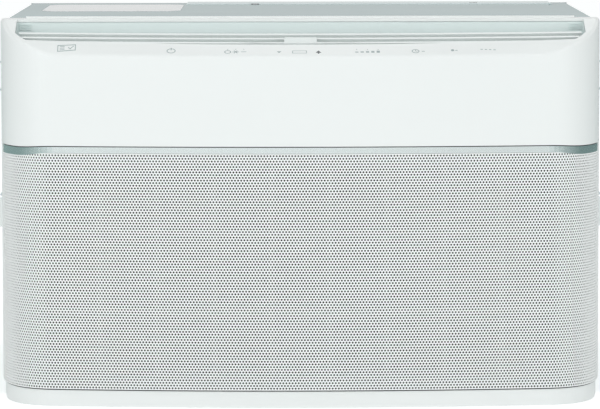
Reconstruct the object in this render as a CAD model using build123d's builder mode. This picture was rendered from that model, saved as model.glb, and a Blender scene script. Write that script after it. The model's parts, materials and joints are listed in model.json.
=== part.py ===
"""Window air conditioner with a bowed front, a top outlet and a wrapped perforated intake grille.

The frame is +Z up with the origin at the bottom centre of the unit. The room side faces -Y and the
window side faces +Y. Distances called "back" are measured from the foremost point of the bowed front.
"""

from build123d import *

import os
from math import asin, cos, degrees, radians, sin, sqrt, tan

os.makedirs("parts", exist_ok=True)

# Overall size
width = 574.0
height = 362.0
depth = 533.0

# Clearances
gap = 0.3  # between pieces that are set against each other
running = 0.06  # radial clearance of a pin in its bearing

# Plan of the bowed front housing: bow, tight corner, long flank, then the drafted side
housing_depth = 112.0
bow_radius = 1700.0
corner_radius = 52.0
corner_heading = 60.0
flank_radius = 100.0
draft_angle = 6.0
shell = 2.5

# Heights on the front
skirt_height = 15.5
skirt_inset = 2.3
skirt_seam = 1.2
fascia_bottom = 246.0
slope_front_z = 331.0
slope_angle = 22.0
slope_edge_radius = 4.0
deck_rib_half = 262.0  # low rib along the deck's rear, which the sash seal meets
deck_rib_back = 103.0
deck_rib = 6.0
deck_rib_rise = 1.6

# Intake grille, its backing and the bright strip above it
mesh_inset = 0.5
mesh_thickness = 1.0
mesh_back = 86.5
backing_thickness = 3.0
backing_rib = 5.0
backing_rib_pitch = 54.0
backing_rail = 10.0
backing_bar_heights = (90.0, 165.0)
trim_height = 6.4
trim_inset = 0.3
trim_thickness = 1.1

# Front frame behind the grille
frame_wall = 3.0
frame_strip = 5.0
frame_plate_clear = 4.0
frame_plate = 3.0
frame_rim = 11.0
guide_rib = 2.0
guide_height = 4.0

# Air filters, one half on each side
filter_thickness = 5.0
filter_rim = 9.0
filter_net = 1.2
filter_grip_z = 163.0
filter_grip_height = 28.0
filter_grip_reach = 1.0

# Air outlet in the slope
outlet_margin = 5.2
outlet_half_width = 269.0
outlet_front = 23.0
outlet_rear = 77.5
outlet_bow_radius = 3125.0
outlet_corner_radius = 7.0

# Outlet duct
duct_wall = 2.0
duct_floor_z = 298.0
duct_roof_z = 343.0
duct_half_width = 262.0
duct_turn_radius = 8.0
duct_lip_radius = 4.0

# Louvre blades across the outlet
blade_front = 33.5
blade_pitch = 8.8
blade_recess = 3.0
blade_chord = 14.2
blade_thickness = 3.3
blade_lean = 40.0
blade_bow_radius = 9000.0
blade_spans = 12
blade_end_gap = 3.5
blade_boss_radius = 4.0
blade_boss = 1.6
blade_pin_radius = 1.5
crank_x = 243.0
crank_reach = 12.5
crank_arm = 4.0
crank_pin_radius = 1.2
link_width = 4.4
link_thickness = 2.0
tab_width = 31.0
tab_rise = 5.0
tab_depth = 5.0
tab_skirt = 4.0

# Upright vanes inside the duct, in a left and a right gang
vane_count = 5
vane_pitch = 46.0
vane_pivot_back = 58.0
vane_front_reach = 21.0
vane_rear_reach = 8.0
vane_lift = 2.0
vane_height = 18.0
vane_thickness = 1.6
vane_pin_radius = 1.5
vane_crank_reach = 14.0
vane_crank_radius = 1.3
vane_link_width = 5.0
vane_link_height = 2.0
rail_width = 8.0
rail_height = 4.0

# Touch board under the front of the slope
board_half_length = 205.0
board_front = 6.0
board_back = 20.0
board_thickness = 1.6
board_chip = 9.0
board_chip_pitch = 45.0
board_chip_count = 7
board_chip_depth = 5.4
board_chip_height = 1.2

# Sheet-metal cabinet
sheet = 1.0
cabinet_inset = 3.0
cabinet_gap = 1.2
cabinet_drop = 1.8
lid_skirt = 12.0
emboss_back = 163.0
emboss_margin = 24.0
emboss_rise = 0.8
rail_outer_pitch = 360.0
rail_inner_pitch = 120.0
rail_hole_radius = 2.6
rail_hole_back = 148.0
vent_width = 62.0
vent_slot = 5.0
vent_pitch = 15.0
vent_rows = 11
vent_columns = 2
vent_bottom = 96.0
vent_back = 380.0
vent_column_pitch = 78.0
rear_flange = 14.0

# Side brackets for the window curtains
bracket_heights = (163.0, 291.0)
bracket_height = 28.0
bracket_back = 132.0
bracket_length = 58.0
bracket_reach = 6.4
bracket_sheet = 1.6
bracket_hole_radius = 2.2

# Base pan
pan_sheet = 1.2
pan_flange = 26.0
pan_bead_height = 2.0
pan_bead_width = 14.0
pan_bead_xs = (-150.0, -70.0, 10.0)
pan_bead_front = 275.0
pan_bead_length = 85.0
drain_radius = 8.0
drain_collar = 2.0
drain_x = -190.0
drain_back = 440.0
sill_hole_radius = 3.2
sill_hole_pitch = 320.0
sill_hole_back = 240.0

# Rear guard
guard_frame = 16.0
guard_depth = 5.0
guard_bar = 3.0
guard_bar_count = 13

# Screws of the cabinet
screw_head_radius = 4.2
screw_head = 1.0
screw_shank_radius = 1.9
screw_hole_radius = 2.1
screw_shank = 8.0
side_screw_z = 14.0
side_screw_backs = (150.0, 330.0, 505.0)
top_screw_places = ((-46.0, 463.0), (183.0, 486.0))

# Evaporator behind the front frame
coil_clear = 6.0
evaporator_depth = 26.0
evaporator_bottom = 22.0
evaporator_top = 290.0
evaporator_right = 135.0
fin_pitch = 9.0
fin_thickness = 1.0
tube_radius = 4.0
tube_pitch = 38.0
end_plate = 1.5

# Drain tray
tray_height = 18.0
tray_wall = 1.6

# Control box beside the evaporator
control_clear = 26.0
control_bottom = 30.0
control_top = 290.0
control_wall = 1.6
main_board_thickness = 1.6
main_board_height = 120.0
main_board_standoff = 8.0
main_board_margin = 10.0
post_radius = 3.0
capacitor_radius = 22.0
capacitor_height = 80.0
capacitor_crown = 2.0
terminal_spread = 7.0
terminal_height = 8.0
terminal_radius = 1.5

# Parts on the main board: place across it, place up it, reach off it, height
board_part_width = 18.0
board_parts = ((0.25, 0.3, 14, 22), (0.6, 0.25, 10, 16), (0.35, 0.7, 18, 12), (0.75, 0.68, 8, 26))

# Blower, its motor and the outdoor fan share one shaft
shaft_x = -70.0
shaft_z = 168.0
shaft_radius = 4.0
scroll_radius = 116.0
scroll_depth = 72.0
scroll_wall = 2.0
scroll_inlet_radius = 72.0
blower_radius = 85.0
blower_width = 58.0
blower_blades = 36
blower_blade_depth = 14.0
blower_blade = 1.4
blower_plate = 2.5
hub_radius = 12.0
motor_radius = 49.0
motor_length = 80.0
motor_boss_radius = 14.0
motor_boss = 6.0
motor_clear = 14.0
motor_plate = 2.5
motor_edge = 6.0
motor_bracket_margin = 14.0
motor_bracket_round = 30.0
motor_bracket_foot = 30.0
fan_radius = 140.0
fan_hub_radius = 30.0
fan_hub_length = 30.0
fan_blades = 5
fan_blade = 2.4
fan_blade_angle = 28.0
fan_clear = 6.0
slinger_radius = 146.0
slinger_width = 6.0

# Bulkhead between the room side and the window side
bulkhead_sheet = 2.0
bulkhead_hole_radius = 20.0

# Fan shroud and condenser
shroud_wall = 2.0
shroud_clear = 6.0
shroud_ring_radius = 151.0
shroud_ring_depth = 26.0
condenser_depth = 44.0
condenser_rear_clear = 14.0
condenser_half = 262.0
condenser_bottom = 20.0
condenser_top = 352.0

# Compressor and pipework
compressor_x = 196.0
compressor_radius = 59.0
compressor_bottom = 22.0
compressor_height = 222.0
compressor_crown = 24.0
compressor_back = 297.0
foot_circle = 64.0
foot_radius = 15.0
foot_plate = 3.0
grommet_radius = 11.0
stud_radius = 4.0
nut_radius = 7.0
nut_height = 6.0
cover_radius = 18.0
cover_height = 20.0
cover_offset = 14.0
accumulator_radius = 22.0
accumulator_height = 120.0
accumulator_offset = 88.0
pipe_radius = 4.0
pipe_bend = 10.0
suction_offset = 11.0
suction_z = 70.0
capillary_offset = 10.0
capillary_z = 84.0
capillary_radius = 1.2
liquid_z = 40.0
discharge_z = 318.0
header_offset = 8.0
drier_radius = 10.0
drier_length = 70.0

# Cord entry in the cabinet's right side
cord_bore_radius = 5.0
cord_entry_z = 60.0
cord_entry_back = 205.0
cord_flange = 4.0
cord_flange_thickness = 1.8
cord_sleeve = 2.0

front_y = -depth / 2
half_width = width / 2
cabinet_half = half_width - cabinet_inset
cabinet_front = housing_depth + cabinet_gap
cabinet_top = height - cabinet_drop
cabinet_rear = depth - guard_depth
rise = tan(radians(slope_angle))


def at(back):
    """The y of a point this far behind the foremost point of the bow."""
    return front_y + back


def slope_z(back):
    """Height of the sloping top facet at this distance back."""
    return slope_front_z + back * rise


def slab(x0, x1, back0, back1, z0, z1, mode=Mode.ADD):
    """A block between two x, two distances back and two heights."""
    with Locations(((x0 + x1) / 2, at((back0 + back1) / 2), (z0 + z1) / 2)):
        Box(x1 - x0, back1 - back0, z1 - z0, mode=mode)


def rod_x(x0, x1, back, z, radius, mode=Mode.ADD):
    """A round bar along X."""
    with Locations(((x0 + x1) / 2, at(back), z)):
        Cylinder(radius, abs(x1 - x0), rotation=(0, 90, 0), mode=mode)


def rod_y(x, z, back0, back1, radius, mode=Mode.ADD):
    """A round bar along Y."""
    with Locations((x, at((back0 + back1) / 2), z)):
        Cylinder(radius, back1 - back0, rotation=(90, 0, 0), mode=mode)


def post(x, back, z0, z1, radius, mode=Mode.ADD):
    """A round bar along Z."""
    with Locations((x, at(back), (z0 + z1) / 2)):
        Cylinder(radius, z1 - z0, mode=mode)


def export(piece, name):
    """Labels a finished piece and writes it as the node of that name."""
    piece.part.label = name
    export_step(piece.part, f"parts/{name}.step")


# The bow turns through the angle that brings the flanks and drafted sides out to the stated width.
corner_sine = sin(radians(corner_heading))
corner_cosine = cos(radians(corner_heading))
draft = radians(draft_angle)
flank_rise = flank_radius * (corner_cosine - sin(draft))
flank_run = flank_radius * (cos(draft) - corner_sine)
bow_reach = half_width - corner_radius * corner_sine - flank_run
bow_reach -= tan(draft) * (housing_depth - bow_radius + corner_radius * corner_cosine - flank_rise)
bow_heading = degrees(asin(cos(draft) * bow_reach / (bow_radius - corner_radius))) - draft_angle


def front_plan(inset, back, z=0.0):
    """The front housing's plan at height z, moved in by inset and cut off at this distance back."""
    with BuildSketch(Plane.XY.offset(z)) as plan:
        with BuildLine():
            bow = JernArc((0, front_y + inset), (1, 0), bow_radius - inset, bow_heading)
            corner = JernArc(bow @ 1, bow % 1, corner_radius - inset, corner_heading - bow_heading)
            turn = 90 - draft_angle - corner_heading
            flank = JernArc(corner @ 1, corner % 1, flank_radius - inset, turn)
            flank_end = flank @ 1
            end_x = flank_end.X + (at(back) - flank_end.Y) * tan(draft)
            side = Line(flank_end, (end_x, at(back)))
            Line(side @ 1, (0, at(back)))
            mirror(about=Plane.YZ)
        make_face()
    return plan.sketch


def half_width_at(inset, back):
    """Half the width of the front's plan, moved in by inset, at this distance back."""
    with BuildSketch() as plan:
        add(front_plan(inset, housing_depth))
        split(bisect_by=Plane(origin=(0, at(back), 0), z_dir=(0, -1, 0)))
    return plan.sketch.bounding_box().max.X


def wrap(outer, inner, back, z0, z1):
    """A band that follows the front between two insets, back to this distance and from z0 to z1."""
    extrude(front_plan(outer, back, z0), amount=z1 - z0)
    extrude(front_plan(inner, back + gap, z0), amount=z1 - z0, mode=Mode.SUBTRACT)


def slope_profile(drop):
    """What lies below the slope and the deck, both lowered by drop, seen from the side."""
    fall = drop / cos(radians(slope_angle))
    deck = height - drop
    crest = (deck - slope_front_z + fall) / rise
    ahead = -shell
    with BuildSketch(Plane.YZ) as profile:
        with BuildLine():
            Polyline(
                (at(ahead), 0),
                (at(ahead), slope_z(ahead) - fall),
                (at(crest), deck),
                (at(depth), deck),
                (at(depth), 0),
                close=True,
            )
        make_face()
    return profile.sketch


def outlet_plan(grow=0.0, z=0.0):
    """Plan of the outlet: it follows the front's sides, with a shallow bow along its front lip."""
    with BuildSketch(Plane.XY.offset(z)) as plan:
        add(front_plan(outlet_margin - grow, housing_depth))
        split(bisect_by=Plane(origin=(0, at(outlet_rear + grow), 0), z_dir=(0, -1, 0)))
        with Locations((0, at(outlet_front - grow) + outlet_bow_radius)):
            Circle(outlet_bow_radius, mode=Mode.INTERSECT)
        Rectangle(2 * (outlet_half_width + grow), 2 * depth, mode=Mode.INTERSECT)
        fillet(plan.vertices().group_by(Axis.Y)[0], outlet_corner_radius + grow)
    return plan.sketch


def outlet_half_at(grow, back):
    """Half the width of the outlet's plan, grown by grow, at this distance back."""
    return min(half_width_at(outlet_margin - grow, back), outlet_half_width + grow)


# Louvre pivots: each blade's top edge runs just under the slope, and its straight axis lies midway
# between the blade's foremost line and its bowed-back ends.
blade_names = ("louvre_front", "louvre_middle", "louvre_rear")
blade_count = len(blade_names)
blade_bow = duct_half_width**2 / (2 * blade_bow_radius)


def blade_axis_back(i):
    """Distance back of a blade's pivot, counted from the front blade."""
    middle = blade_front + i * blade_pitch + blade_chord / 2 * sin(radians(blade_lean))
    return middle + blade_bow / 2 * cos(radians(slope_angle))


def blade_axis_z(i):
    """Height of a blade's pivot, counted from the front blade."""
    top = slope_z(blade_front + i * blade_pitch) - blade_recess
    return top - blade_chord / 2 * cos(radians(blade_lean)) + blade_bow / 2 * sin(radians(slope_angle))


vane_xs = [side * (i + 0.5) * vane_pitch for side in (-1, 1) for i in range(vane_count)]


# Front panel: upper fascia, slope with the outlet, and the flat deck behind it
with BuildPart() as panel_core:
    extrude(front_plan(shell, housing_depth + gap, 0), amount=height)
    extrude(slope_profile(shell), amount=half_width, both=True, mode=Mode.INTERSECT)

with BuildPart() as front_panel:
    extrude(front_plan(0, housing_depth, fascia_bottom), amount=height - fascia_bottom)
    extrude(slope_profile(0), amount=half_width, both=True, mode=Mode.INTERSECT)
    roof_edges = front_panel.faces().filter_by(lambda face: face.normal_at().Z > 0.5).edges()
    fillet(roof_edges.sort_by(Axis.Y)[:-2], slope_edge_radius)
    add(panel_core.part, mode=Mode.SUBTRACT)
    extrude(outlet_plan(0, duct_floor_z), amount=height - duct_floor_z, mode=Mode.SUBTRACT)
    deck_rib_rear = deck_rib_back + deck_rib
    slab(-deck_rib_half, deck_rib_half, deck_rib_back, deck_rib_rear, height, height + deck_rib_rise)
export(front_panel, "front_panel")


# Outlet duct: a channel from the blower that turns up to the opening in the slope
def duct_shape(grow, floor_z, roof_z):
    """The space of the duct, or its outside, grown by its wall."""
    extrude(outlet_plan(grow, floor_z), amount=height - floor_z)
    reach = duct_half_width + grow
    slab(-reach, reach, outlet_rear - 20, duct_rear, floor_z, roof_z)


duct_rear = housing_depth + coil_clear + evaporator_depth + coil_clear
scroll_left = shaft_x - scroll_radius
scroll_right = shaft_x + scroll_radius

with BuildPart() as duct_space:
    duct_shape(0, duct_floor_z, duct_roof_z)
    along_x = duct_space.edges().filter_by(Axis.X)
    fillet(along_x.filter_by_position(Axis.Y, at(outlet_rear) - 1, at(outlet_rear) + 1), duct_lip_radius)
    floor_edges = duct_space.faces().sort_by(Axis.Z)[0].edges()
    fillet(floor_edges.filter_by_position(Axis.Y, at(0), at(outlet_rear) - 25), duct_turn_radius)

with BuildPart() as outlet_duct:
    duct_shape(duct_wall, duct_floor_z - duct_wall, duct_roof_z + duct_wall)
    extrude(slope_profile(shell + gap), amount=half_width, both=True, mode=Mode.INTERSECT)
    add(duct_space.part, mode=Mode.SUBTRACT)
    slab(-duct_half_width, duct_half_width, duct_rear - duct_wall, duct_rear, duct_floor_z, duct_roof_z)
    throat_left = scroll_left + scroll_wall
    throat_right = scroll_right - scroll_wall
    slab(
        throat_left, throat_right, outlet_rear, duct_rear, duct_floor_z, duct_roof_z, mode=Mode.SUBTRACT
    )
    for i in range(blade_count):
        rod_x(
            -half_width,
            half_width,
            blade_axis_back(i),
            blade_axis_z(i),
            blade_pin_radius + running,
            mode=Mode.SUBTRACT,
        )
    for x in vane_xs:
        post(
            x,
            vane_pivot_back,
            duct_floor_z - duct_wall,
            duct_floor_z,
            vane_pin_radius + running,
            mode=Mode.SUBTRACT,
        )
export(outlet_duct, "outlet_duct")


# Louvre blades: bowed along the slope, each swinging on end pins in the duct's side walls
def louvre_blade(i):
    """One blade with its end bosses, pins and crank arm, before any tab."""
    axis_back = blade_axis_back(i)
    axis_z = blade_axis_z(i)
    half = outlet_half_at(0, blade_front + i * blade_pitch + blade_bow - 2) - blade_end_gap
    pin_end = outlet_half_at(duct_wall, axis_back - blade_pin_radius)
    middle_back = axis_back - blade_bow / 2 * cos(radians(slope_angle))
    middle_z = axis_z - blade_bow / 2 * sin(radians(slope_angle))
    with BuildPart() as blade:
        upright = (0, -sin(radians(slope_angle)), cos(radians(slope_angle)))
        with BuildSketch(Plane(origin=(0, at(middle_back), middle_z), x_dir=(1, 0, 0), z_dir=upright)):
            with BuildLine():
                xs = [half * (2 * k / blade_spans - 1) for k in range(blade_spans + 1)]
                bow = [blade_bow_radius - sqrt(blade_bow_radius**2 - x**2) for x in xs]
                reach = blade_thickness / cos(radians(blade_lean - slope_angle)) / 2
                front = [(x, rise - reach) for x, rise in zip(xs, bow)]
                rear = [(x, rise + reach) for x, rise in zip(xs, bow)]
                Polyline(*front, *reversed(rear), close=True)
            make_face()
        blade_run = (0, sin(radians(blade_lean)), -cos(radians(blade_lean)))
        extrude(amount=blade_chord / 2, dir=blade_run, both=True)
        for side in (-1, 1):
            rod_x(side * (half - blade_boss), side * half, axis_back, axis_z, blade_boss_radius)
            rod_x(side * (half - blade_boss), side * pin_end, axis_back, axis_z, blade_pin_radius)
        lean = radians(blade_lean)
        arm_middle = (at(axis_back + crank_reach / 2 * sin(lean)), axis_z - crank_reach / 2 * cos(lean))
        with BuildSketch(Plane.YZ.offset(crank_x)):
            with Locations(arm_middle):
                SlotCenterToCenter(crank_reach, crank_arm, rotation=blade_lean - 90)
        extrude(amount=-link_thickness)
        pin_length = link_thickness + 2 * gap
        rod_x(
            crank_x,
            crank_x + pin_length,
            axis_back + crank_reach * sin(lean),
            axis_z - crank_reach * cos(lean),
            crank_pin_radius,
        )
    return blade


for i, name in enumerate(("louvre_front", "louvre_middle", "louvre_rear")):
    blade = louvre_blade(i)
    if i == 0:
        with BuildPart() as tab:
            top_z = slope_z(blade_front) - blade_recess + tab_rise
            with Locations((0, at(blade_front + tab_depth / 2), top_z - (tab_rise + tab_skirt) / 2)):
                Box(tab_width, tab_depth, tab_rise + tab_skirt)
            fillet(tab.edges().filter_by(Axis.Z), 1.5)
            fillet(tab.faces().sort_by(Axis.Z)[-1].edges(), 0.8)
        with BuildPart() as blade_with_tab:
            add(blade.part)
            add(tab.part)
        blade = blade_with_tab
    export(blade, name)

# Link bar that keeps the three blades parallel
link_lean = radians(blade_lean)
link_backs = [blade_axis_back(i) + crank_reach * sin(link_lean) for i in range(blade_count)]
link_zs = [blade_axis_z(i) - crank_reach * cos(link_lean) for i in range(blade_count)]
link_x = crank_x + gap
with BuildPart() as louvre_link:
    with BuildSketch(Plane.YZ.offset(link_x)):
        with Locations((at(link_backs[1]), link_zs[1])):
            pin_span = (blade_count - 1) * blade_pitch / cos(radians(slope_angle))
            SlotCenterToCenter(pin_span, link_width, rotation=slope_angle)
        with Locations([(at(back), z) for back, z in zip(link_backs, link_zs)]):
            Circle(crank_pin_radius + running, mode=Mode.SUBTRACT)
    extrude(amount=link_thickness)
export(louvre_link, "louvre_link")


# Upright vanes: each turns on a pin in the duct floor and a pin in the rail above
vane_bottom = duct_floor_z + vane_lift
vane_top = vane_bottom + vane_height
rail_bottom = vane_top + gap
link_bottom = vane_top + gap
crank_back = vane_pivot_back - vane_crank_reach


def vane(x):
    """One vane with its two pivot pins and its crank pin."""
    with BuildPart() as blade:
        with BuildSketch(Plane.XY.offset(vane_bottom)):
            with Locations((x, at(vane_pivot_back + (vane_rear_reach - vane_front_reach) / 2))):
                SlotOverall(vane_front_reach + vane_rear_reach, vane_thickness, rotation=90)
            with Locations((x, at(vane_pivot_back))):
                Circle(vane_pin_radius + 1)
            with Locations((x, at(crank_back))):
                Circle(vane_crank_radius + 0.5)
        extrude(amount=vane_height)
        post(x, vane_pivot_back, duct_floor_z + gap, vane_bottom, vane_pin_radius + 1)
        post(x, vane_pivot_back, duct_floor_z - duct_wall, duct_floor_z + gap, vane_pin_radius)
        post(x, vane_pivot_back, vane_top, rail_bottom + rail_height, vane_pin_radius)
        post(x, crank_back, vane_top, link_bottom + vane_link_height + gap, vane_crank_radius)
    return blade


for side, gang in ((-1, "left"), (1, "right")):
    for i in range(vane_count):
        export(vane(side * (i + 0.5) * vane_pitch), f"vane_{gang}_{i + 1}")
    with BuildPart() as vane_link:
        with BuildSketch(Plane.XY.offset(link_bottom)):
            with Locations((side * vane_count / 2 * vane_pitch, at(crank_back))):
                SlotCenterToCenter((vane_count - 1) * vane_pitch, vane_link_width)
                with GridLocations(vane_pitch, 1, vane_count, 1):
                    Circle(vane_crank_radius + running, mode=Mode.SUBTRACT)
        extrude(amount=vane_link_height)
    export(vane_link, f"vane_link_{gang}")

with BuildPart() as vane_rail:
    rail_half = outlet_half_at(0, vane_pivot_back - rail_width / 2) - gap
    rail_half = min(rail_half, duct_half_width - gap)
    slab(
        -rail_half,
        rail_half,
        vane_pivot_back - rail_width / 2,
        vane_pivot_back + rail_width / 2,
        rail_bottom,
        rail_bottom + rail_height,
    )
    for x in vane_xs:
        post(
            x,
            vane_pivot_back,
            rail_bottom,
            rail_bottom + rail_height,
            vane_pin_radius + running,
            mode=Mode.SUBTRACT,
        )
export(vane_rail, "vane_rail")

# Touch board clipped under the front of the slope, with its row of sensing pads and driver chips
with BuildPart() as touch_board:
    under = (shell + gap) / cos(radians(slope_angle))
    thick = board_thickness / cos(radians(slope_angle))
    with BuildSketch(Plane.YZ):
        with BuildLine():
            Polyline(
                (at(board_front), slope_z(board_front) - under),
                (at(board_back), slope_z(board_back) - under),
                (at(board_back), slope_z(board_back) - under - thick),
                (at(board_front), slope_z(board_front) - under - thick),
                close=True,
            )
        make_face()
    extrude(amount=board_half_length, both=True)
    board_middle = (board_front + board_back) / 2
    board_plane = Plane(
        origin=(0, at(board_middle), slope_z(board_middle) - under - thick),
        x_dir=(1, 0, 0),
        z_dir=(0, sin(radians(slope_angle)), -cos(radians(slope_angle))),
    )
    with BuildSketch(board_plane):
        with GridLocations(board_chip_pitch, 1, board_chip_count, 1):
            Rectangle(board_chip, board_chip_depth)
    extrude(amount=board_chip_height)
    extrude(front_plan(shell + slope_edge_radius, housing_depth), amount=height, mode=Mode.INTERSECT)
export(touch_board, "touch_board")

# Bright strip between the fascia and the intake grille
grille_top = fascia_bottom - gap
trim_bottom = grille_top - trim_height
with BuildPart() as trim_strip:
    wrap(trim_inset, trim_inset + trim_thickness, mesh_back, trim_bottom, grille_top)
export(trim_strip, "trim_strip")

# Perforated metal skin of the intake grille; its thousands of small holes are not cut here
grille_bottom = skirt_height + skirt_seam
mesh_top = trim_bottom - gap
with BuildPart() as grille_mesh:
    wrap(mesh_inset, mesh_inset + mesh_thickness, mesh_back, grille_bottom, mesh_top)
export(grille_mesh, "grille_mesh")

# Ribbed plastic backing that the perforated skin is bent over
backing_inset = mesh_inset + mesh_thickness
with BuildPart() as grille_backing:
    inner = backing_inset + backing_thickness
    wrap(backing_inset, inner, mesh_back, skirt_height + gap, grille_top)
    rib_count = int(width / backing_rib_pitch)
    rib_xs = [(i - (rib_count - 1) / 2) * backing_rib_pitch for i in range(rib_count)]
    bar_zs = [grille_bottom + backing_rail, *backing_bar_heights, trim_bottom - backing_rail]
    for z0, z1 in zip(bar_zs[:-1], bar_zs[1:]):
        z0 += backing_rib / 2
        z1 -= backing_rib / 2
        for x0, x1 in zip(rib_xs[:-1], rib_xs[1:]):
            slab(
                x0 + backing_rib / 2, x1 - backing_rib / 2, -1, mesh_back / 2, z0, z1, mode=Mode.SUBTRACT
            )
        slab(
            -half_width, half_width, mesh_back / 2, mesh_back - backing_rail, z0, z1, mode=Mode.SUBTRACT
        )
export(grille_backing, "grille_backing")

# Skirt under the grille, set in all round, with the ledge that the grille stands on
with BuildPart() as base_skirt:
    wrap(skirt_inset, skirt_inset + shell, housing_depth, 0, skirt_height)
    wrap(
        skirt_inset,
        skirt_inset + 2 * shell + backing_thickness,
        housing_depth,
        skirt_height - shell,
        skirt_height,
    )
export(base_skirt, "base_skirt")

# Front frame: the side bands behind the grille, the plate between them and the filter guides
frame_front = mesh_back + gap
frame_bottom = skirt_height + gap
filter_back = frame_front + frame_strip
filter_rear = filter_back + filter_thickness
frame_plate_back = filter_rear + frame_plate_clear
filter_bottom = frame_bottom + frame_wall + gap
filter_top = grille_top - frame_wall - gap
window_left = -half_width + 32
window_right = evaporator_right - 5
with BuildPart() as front_frame:
    wrap(0, frame_wall, housing_depth, frame_bottom, grille_top)
    slab(-half_width, half_width, -1, frame_front, 0, height, mode=Mode.SUBTRACT)
    inner_half = half_width_at(frame_wall, frame_front) + 0.5
    slab(
        -inner_half,
        inner_half,
        frame_plate_back,
        frame_plate_back + frame_plate,
        frame_bottom,
        grille_top,
    )
    for z in (frame_bottom, grille_top - frame_wall):
        slab(-inner_half, inner_half, frame_front, frame_plate_back, z, z + frame_wall)
    bottom = frame_bottom + frame_rim
    top = grille_top - frame_rim
    slab(window_left, window_right, frame_plate_back, housing_depth, bottom, top, mode=Mode.SUBTRACT)
    slot_bottom = filter_bottom - gap
    slot_top = filter_top + gap
    for back in (filter_back - gap - guide_rib, filter_rear + gap):
        slab(-inner_half, inner_half, back, back + guide_rib, slot_bottom, slot_bottom + guide_height)
        slab(-inner_half, inner_half, back, back + guide_rib, slot_top - guide_height, slot_top)
    slab(
        -half_width,
        half_width,
        filter_back - gap,
        filter_rear + gap,
        slot_bottom,
        slot_top,
        mode=Mode.SUBTRACT,
    )
    extrude(front_plan(0, housing_depth), amount=height, mode=Mode.INTERSECT)
export(front_frame, "front_frame")

# Air filters: each half slides out sideways, pulled by the grip on its outer end
for side, hand in ((-1, "left"), (1, "right")):
    with BuildPart() as filter_frame:
        slab_x = sorted((side * gap, side * half_width))
        slab(*slab_x, filter_back, filter_rear, filter_bottom, filter_top)
        extrude(front_plan(0, housing_depth), amount=height, mode=Mode.INTERSECT)
        inner_x = sorted(
            (side * (gap + filter_rim), side * (half_width_at(0, filter_back) - filter_rim))
        )
        middle = (filter_bottom + filter_top) / 2
        for z0, z1 in ((filter_bottom + filter_rim, middle - 2), (middle + 2, filter_top - filter_rim)):
            slab(*inner_x, filter_back, filter_rear, z0, z1, mode=Mode.SUBTRACT)
        grip_x = sorted(
            (side * (half_width_at(0, filter_back) - 2), side * (half_width + filter_grip_reach))
        )
        slab(*grip_x, filter_back, filter_rear, filter_grip_z, filter_grip_z + filter_grip_height)
    export(filter_frame, f"filter_frame_{hand}")
    with BuildPart() as net:
        net_middle = (filter_back + filter_rear) / 2
        net_x = sorted((side * (gap + filter_rim), side * (half_width_at(0, filter_back) - filter_rim)))
        for z0, z1 in ((filter_bottom + filter_rim, middle - 2), (middle + 2, filter_top - filter_rim)):
            slab(*net_x, net_middle - filter_net / 2, net_middle + filter_net / 2, z0, z1)
    export(net, f"filter_net_{hand}")


def facing(x, back, z):
    """A plane whose sketches are extruded rearwards along Y from this point."""
    return Plane(origin=(x, at(back), z), x_dir=(1, 0, 0), z_dir=(0, 1, 0))


# Cabinet: a lid whose edges fold down over two side sheets, with a raised panel in the lid
inside_half = cabinet_half - sheet
wrap_bottom = pan_sheet + gap
with BuildPart() as cabinet:
    slab(-cabinet_half, cabinet_half, cabinet_front, cabinet_rear, wrap_bottom, cabinet_top)
    fillet(cabinet.edges().filter_by(Axis.Y).group_by(Axis.Z)[-1], 3 * sheet)
    slab(
        -inside_half,
        inside_half,
        cabinet_front,
        cabinet_rear - sheet,
        0,
        cabinet_top - sheet,
        mode=Mode.SUBTRACT,
    )
    window_half = inside_half - rear_flange
    window_top = cabinet_top - sheet - rear_flange
    slab(
        -window_half, window_half, cabinet_rear - sheet, cabinet_rear, 0, window_top, mode=Mode.SUBTRACT
    )
    for lift, mode, shrink in ((emboss_rise, Mode.ADD, 0), (emboss_rise - sheet, Mode.SUBTRACT, sheet)):
        panel_half = cabinet_half - emboss_margin - shrink
        panel_back = emboss_back + shrink
        panel_rear = cabinet_rear - emboss_margin - shrink
        slab(
            -panel_half,
            panel_half,
            panel_back,
            panel_rear,
            cabinet_top - sheet,
            cabinet_top + lift,
            mode=mode,
        )
    vent_middle = (0, at(vent_back), vent_bottom + (vent_rows - 1) / 2 * vent_pitch)
    with Locations(Plane(origin=vent_middle, x_dir=(0, 1, 0), z_dir=(1, 0, 0))):
        with GridLocations(vent_column_pitch, vent_pitch, vent_columns, vent_rows):
            Box(vent_width, vent_slot, width, mode=Mode.SUBTRACT)
    for pitch in (rail_outer_pitch, rail_inner_pitch):
        for x in (-pitch / 2, pitch / 2):
            post(x, rail_hole_back, cabinet_top - sheet, cabinet_top, rail_hole_radius, mode=Mode.SUBTRACT)
    for back in side_screw_backs:
        rod_x(-half_width, half_width, back, side_screw_z, screw_hole_radius, mode=Mode.SUBTRACT)
    for x, back in top_screw_places:
        post(x, back, cabinet_top - sheet, height, screw_hole_radius, mode=Mode.SUBTRACT)
    for z0 in bracket_heights:
        for back in (bracket_back + bracket_height / 2, bracket_back + bracket_length - bracket_height / 2):
            z = z0 + bracket_height / 2
            rod_x(-half_width, half_width, back, z, bracket_hole_radius, mode=Mode.SUBTRACT)
    sleeve_radius = cord_bore_radius + cord_sleeve
    rod_x(0, half_width, cord_entry_back, cord_entry_z, sleeve_radius + running, mode=Mode.SUBTRACT)
seam_z = cabinet_top - lid_skirt
with BuildPart() as cabinet_lid:
    add(cabinet.part)
    split(bisect_by=Plane.XY.offset(seam_z), keep=Keep.TOP)
export(cabinet_lid, "cabinet_lid")
for side, hand in ((-1, "left"), (1, "right")):
    near, far = sorted((0, side * half_width))
    with BuildPart() as cabinet_side:
        add(cabinet.part)
        slab(near, far, 0, depth, wrap_bottom, seam_z - gap, mode=Mode.INTERSECT)
    export(cabinet_side, f"cabinet_side_{hand}")

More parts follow.
